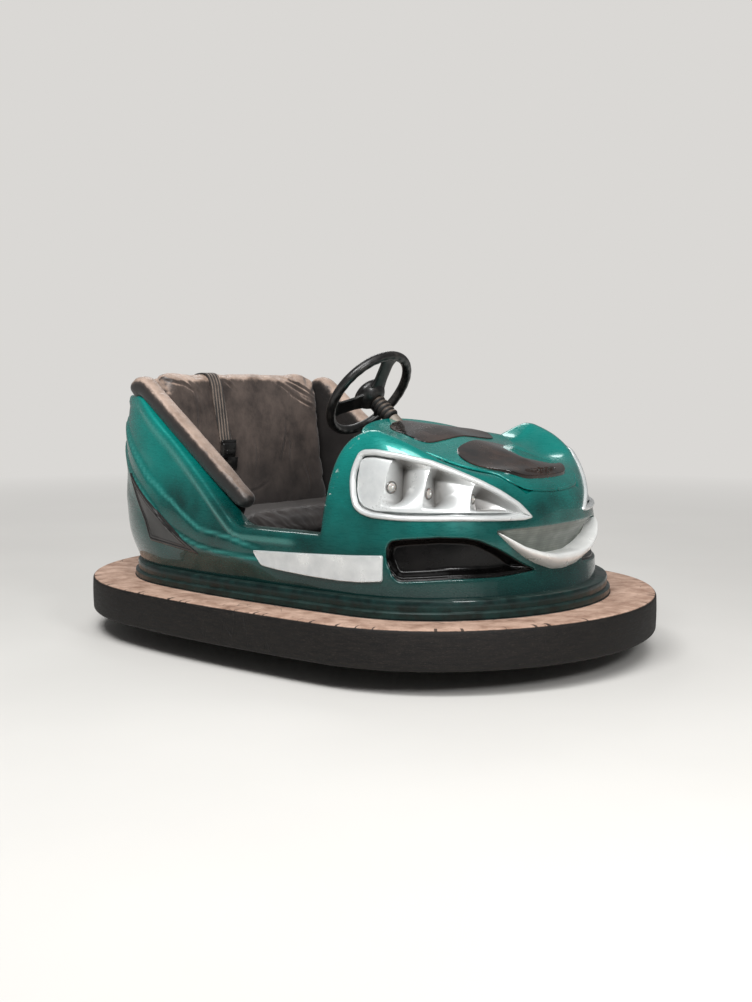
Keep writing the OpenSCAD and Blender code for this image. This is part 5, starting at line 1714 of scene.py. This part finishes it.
wheel = {
    "spokeAngles": (60, 180, 300), "rimR": 0.1440, "gripR": 0.0142, "spokeFoot": 0.024,
    # radius and height along the column's axis
    "hub": [(0.0005, -0.0155), (0.016, -0.0152), (0.034, -0.0142), (0.044, -0.012), (0.0492, -0.0085),
            (0.051, -0.004), (0.0508, 0.002), (0.0500, 0.008), (0.0470, 0.016), (0.0415, 0.024),
            (0.0350, 0.031), (0.0290, 0.0355), (0.0240, 0.038), (0.0140, 0.039)],
    "boot": {"folds": 5, "from": 0.0393, "pitch": 0.0152, "neck": 0.0125, "low": 0.0195, "swell": 0.0056},
}


# Turns a piece from the steering column's own axes to the car's
def onColumn(piece):
    turn = math.radians(90 + car["columnTilt"])
    c, s = math.cos(turn), math.sin(turn)
    x, y, z = coords(piece).T
    setCoords(piece, np.stack([x * c + z * s + car["wheelX"], y, z * c - x * s + car["wheelZ"]], axis=-1))
    return piece


def turned(name, profile, count=72):
    a = np.linspace(0, 2 * math.pi, count + 1)
    rows = [np.stack([r * np.cos(a), r * np.sin(a), np.full(len(a), z)], axis=1) for r, z in profile]
    return mergeClose(gridSheet(name, np.array(rows)), 0.00002)


def makeRim():
    a = np.linspace(0, 2 * math.pi, 145)
    rows = []
    for q in np.linspace(0, 2 * math.pi, 33):
        # finger grips: the back of the rim swells and dips a little
        wave = 1 + 0.035 * np.cos(a * 28) * max(math.sin(q), 0)
        r = wheel["rimR"] + wheel["gripR"] * math.cos(q) * wave
        rows.append(np.stack([r * np.cos(a), r * np.sin(a), wheel["gripR"] * math.sin(q) * wave], axis=1))
    return mergeClose(gridSheet("steeringRim", np.array(rows)), 0.00002)


# A spoke: a wide crowned blade that dips from the rim down to the hub and widens into both
def makeSpoke(angle):
    b = np.linspace(0, 2 * math.pi, 41)
    square = 1 / (np.abs(np.cos(b)) ** 4 + np.abs(np.sin(b)) ** 4) ** 0.25
    a = math.radians(angle)
    rows = []
    for w in np.linspace(0, 1, 31):
        x = np.full(len(b), wheel["spokeFoot"] + (wheel["rimR"] - wheel["spokeFoot"] - 0.004) * w)
        y = np.cos(b) * square * (0.0265 + 0.006 * (1 - ease(w / 0.35)) + 0.011 * ease((w - 0.7) / 0.3))
        thick = 0.0052 + 0.003 * (1 - ease(w / 0.4)) + 0.002 * ease((w - 0.8) / 0.2)
        z = 0.015 * (1 - ease(w)) - 0.002 + np.sin(b) * square * thick
        rows.append(np.stack([x * math.cos(a) - y * math.sin(a), x * math.sin(a) + y * math.cos(a), z], axis=1))
    return mergeClose(gridSheet("spoke", np.array(rows)), 0.00002)


# The boot's profile: a neck, its folds one after the other, and a neck
def bootProfile(folds, start, pitch, neck, low, swell):
    profile = [(neck, start - 0.0008)]
    for k in range(folds):
        profile += [(low + swell * math.sin(math.pi * f) ** 0.7, start + pitch * (k + 0.96 * f))
                    for f in np.linspace(0, 1, 9)]
    return profile + [(neck, start + pitch * folds + 0.0002)]


hub = joined("steeringHub", [turned("hubCore", wheel["hub"])] + [makeSpoke(a) for a in wheel["spokeAngles"]])
rimBlack = blackMoulding("satinBlackPolyurethane")
dress(onColumn(makeRim()), rimBlack, ["steering_rim"], 60, "steering_wheel")
dress(onColumn(hub), rimBlack, ["steering_hub"], 45, "steering_wheel")
boot = onColumn(turned("steeringBoot", bootProfile(*wheel["boot"].values())))
dress(boot, ribbedRubber(), ["steering_boot"], 60, "steering_wheel")
print("steering wheel ready")

# The chassis and the running gear keep their CAD shapes and get their finishes
finishes = [
    (chassisPaint("sprayedChassisPaint", "2C2F31", "55504A"),
     ["bumper_rim", "chassis_frame", "floor_tray", "drive_fork", "rear_axle_right", "rear_axle_left",
      "kingpin_bearing", "pedal"]),
    (chassisPaint("wornColumnPaint", "8E8479", "5C544C"), ["steering_column"]),
    (turnedSteel(), ["steering_shaft", "drive_hub", "rear_hub_right", "rear_hub_left"]),
    (castIron(), ["drive_motor"]),
    (stainedPlywood(), ["seat_box"]),
    (blackMoulding("mouldedBatteryCase", "3A3B3D"), ["battery"]),
    (blackMoulding("mouldedDriveCover", "1C1B1B"), ["drive_cover"]),
    (solidTyreRubber(), ["drive_tyre", "rear_tyre_right", "rear_tyre_left"]),
]
for finish, nodes in finishes:
    for name in nodes:
        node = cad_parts[name]
        node.data.materials.clear()
        node.data.materials.append(finish)
        smooth(node, 30)
print("chassis finished")


# Stage, light and camera

# Colours, the strengths of the world's and the lamps' light, and the lens in millimetres
stage = {
    "floor": "D2D0CC", "backdrop": "DAD8D5", "world": 0.2, "key": 90, "fill": 46, "back": 34, "sun": 1.75,
    "focal": 44.9,
}


def makeStage():
    clearSelection()
    bpy.ops.mesh.primitive_plane_add(size=40, location=(0, 0, -0.0005))
    bpy.ops.object.transform_apply(location=True, rotation=True, scale=True)
    floor = bpy.context.object
    floor.name = "studioFloor"
    floor.data.materials.append(studioFloor())
    world = bpy.data.worlds.new("studioWorld")
    bpy.context.scene.world = world
    world.use_nodes = True
    tree = world.node_tree
    light = tree.nodes["Background"]
    fillInputs(tree, light, {"Color": (1, 1, 1, 1), "Strength": stage["world"]})
    plain = addNode(tree, "Background", Color=stage["backdrop"], Strength=1.0)
    seen = addNode(tree, "LightPath").outputs["Is Camera Ray"]
    shown = addNode(tree, "MixShader", i0=seen, i1=light.outputs[0], i2=plain.outputs[0])
    tree.links.new(shown.outputs[0], tree.nodes["World Output"].inputs["Surface"])


def softBox(name, place, aim, size, power):
    clearSelection()
    bpy.ops.object.light_add(type="AREA", location=place)
    lamp = bpy.context.object
    lamp.name = name
    lamp.data.shape = "RECTANGLE"
    lamp.data.size, lamp.data.size_y = size
    lamp.data.energy = power
    lamp.rotation_euler = (Vector(aim) - Vector(place)).to_track_quat("-Z", "Y").to_euler()
    return lamp


def makeCamera():
    clearSelection()
    bpy.ops.object.camera_add(location=(2.488, -2.911, 0.779))
    camera = bpy.context.object
    camera.name = "photoCamera"
    camera.data.lens = stage["focal"]
    camera.data.sensor_width = 36
    camera.data.sensor_fit = "AUTO"
    aim = Vector((0.0594, 0.0047, 0.4133)) - camera.location
    camera.rotation_euler = aim.to_track_quat("-Z", "Y").to_euler()
    bpy.context.scene.camera = camera


makeStage()
softBox("keyBox", (1.0, -2.8, 3.4), (0, 0, 0.4), (1.6, 0.8), stage["key"])
softBox("noseBox", (3.3, -1.5, 1.9), (0.6, -0.1, 0.4), (0.8, 0.6), stage["fill"])
softBox("backBox", (-2.6, 2.2, 3.4), (0, 0, 0.5), (2.4, 1.0), stage["back"])
clearSelection()
bpy.ops.object.light_add(type="SUN", location=(1, -2, 4), rotation=(math.radians(26), math.radians(26), 0))
sun = bpy.context.object
sun.name = "evenLight"
sun.data.energy = stage["sun"]
sun.data.angle = math.radians(30)
makeCamera()
bpy.context.scene.view_settings.view_transform = "Standard"
print("stage ready")
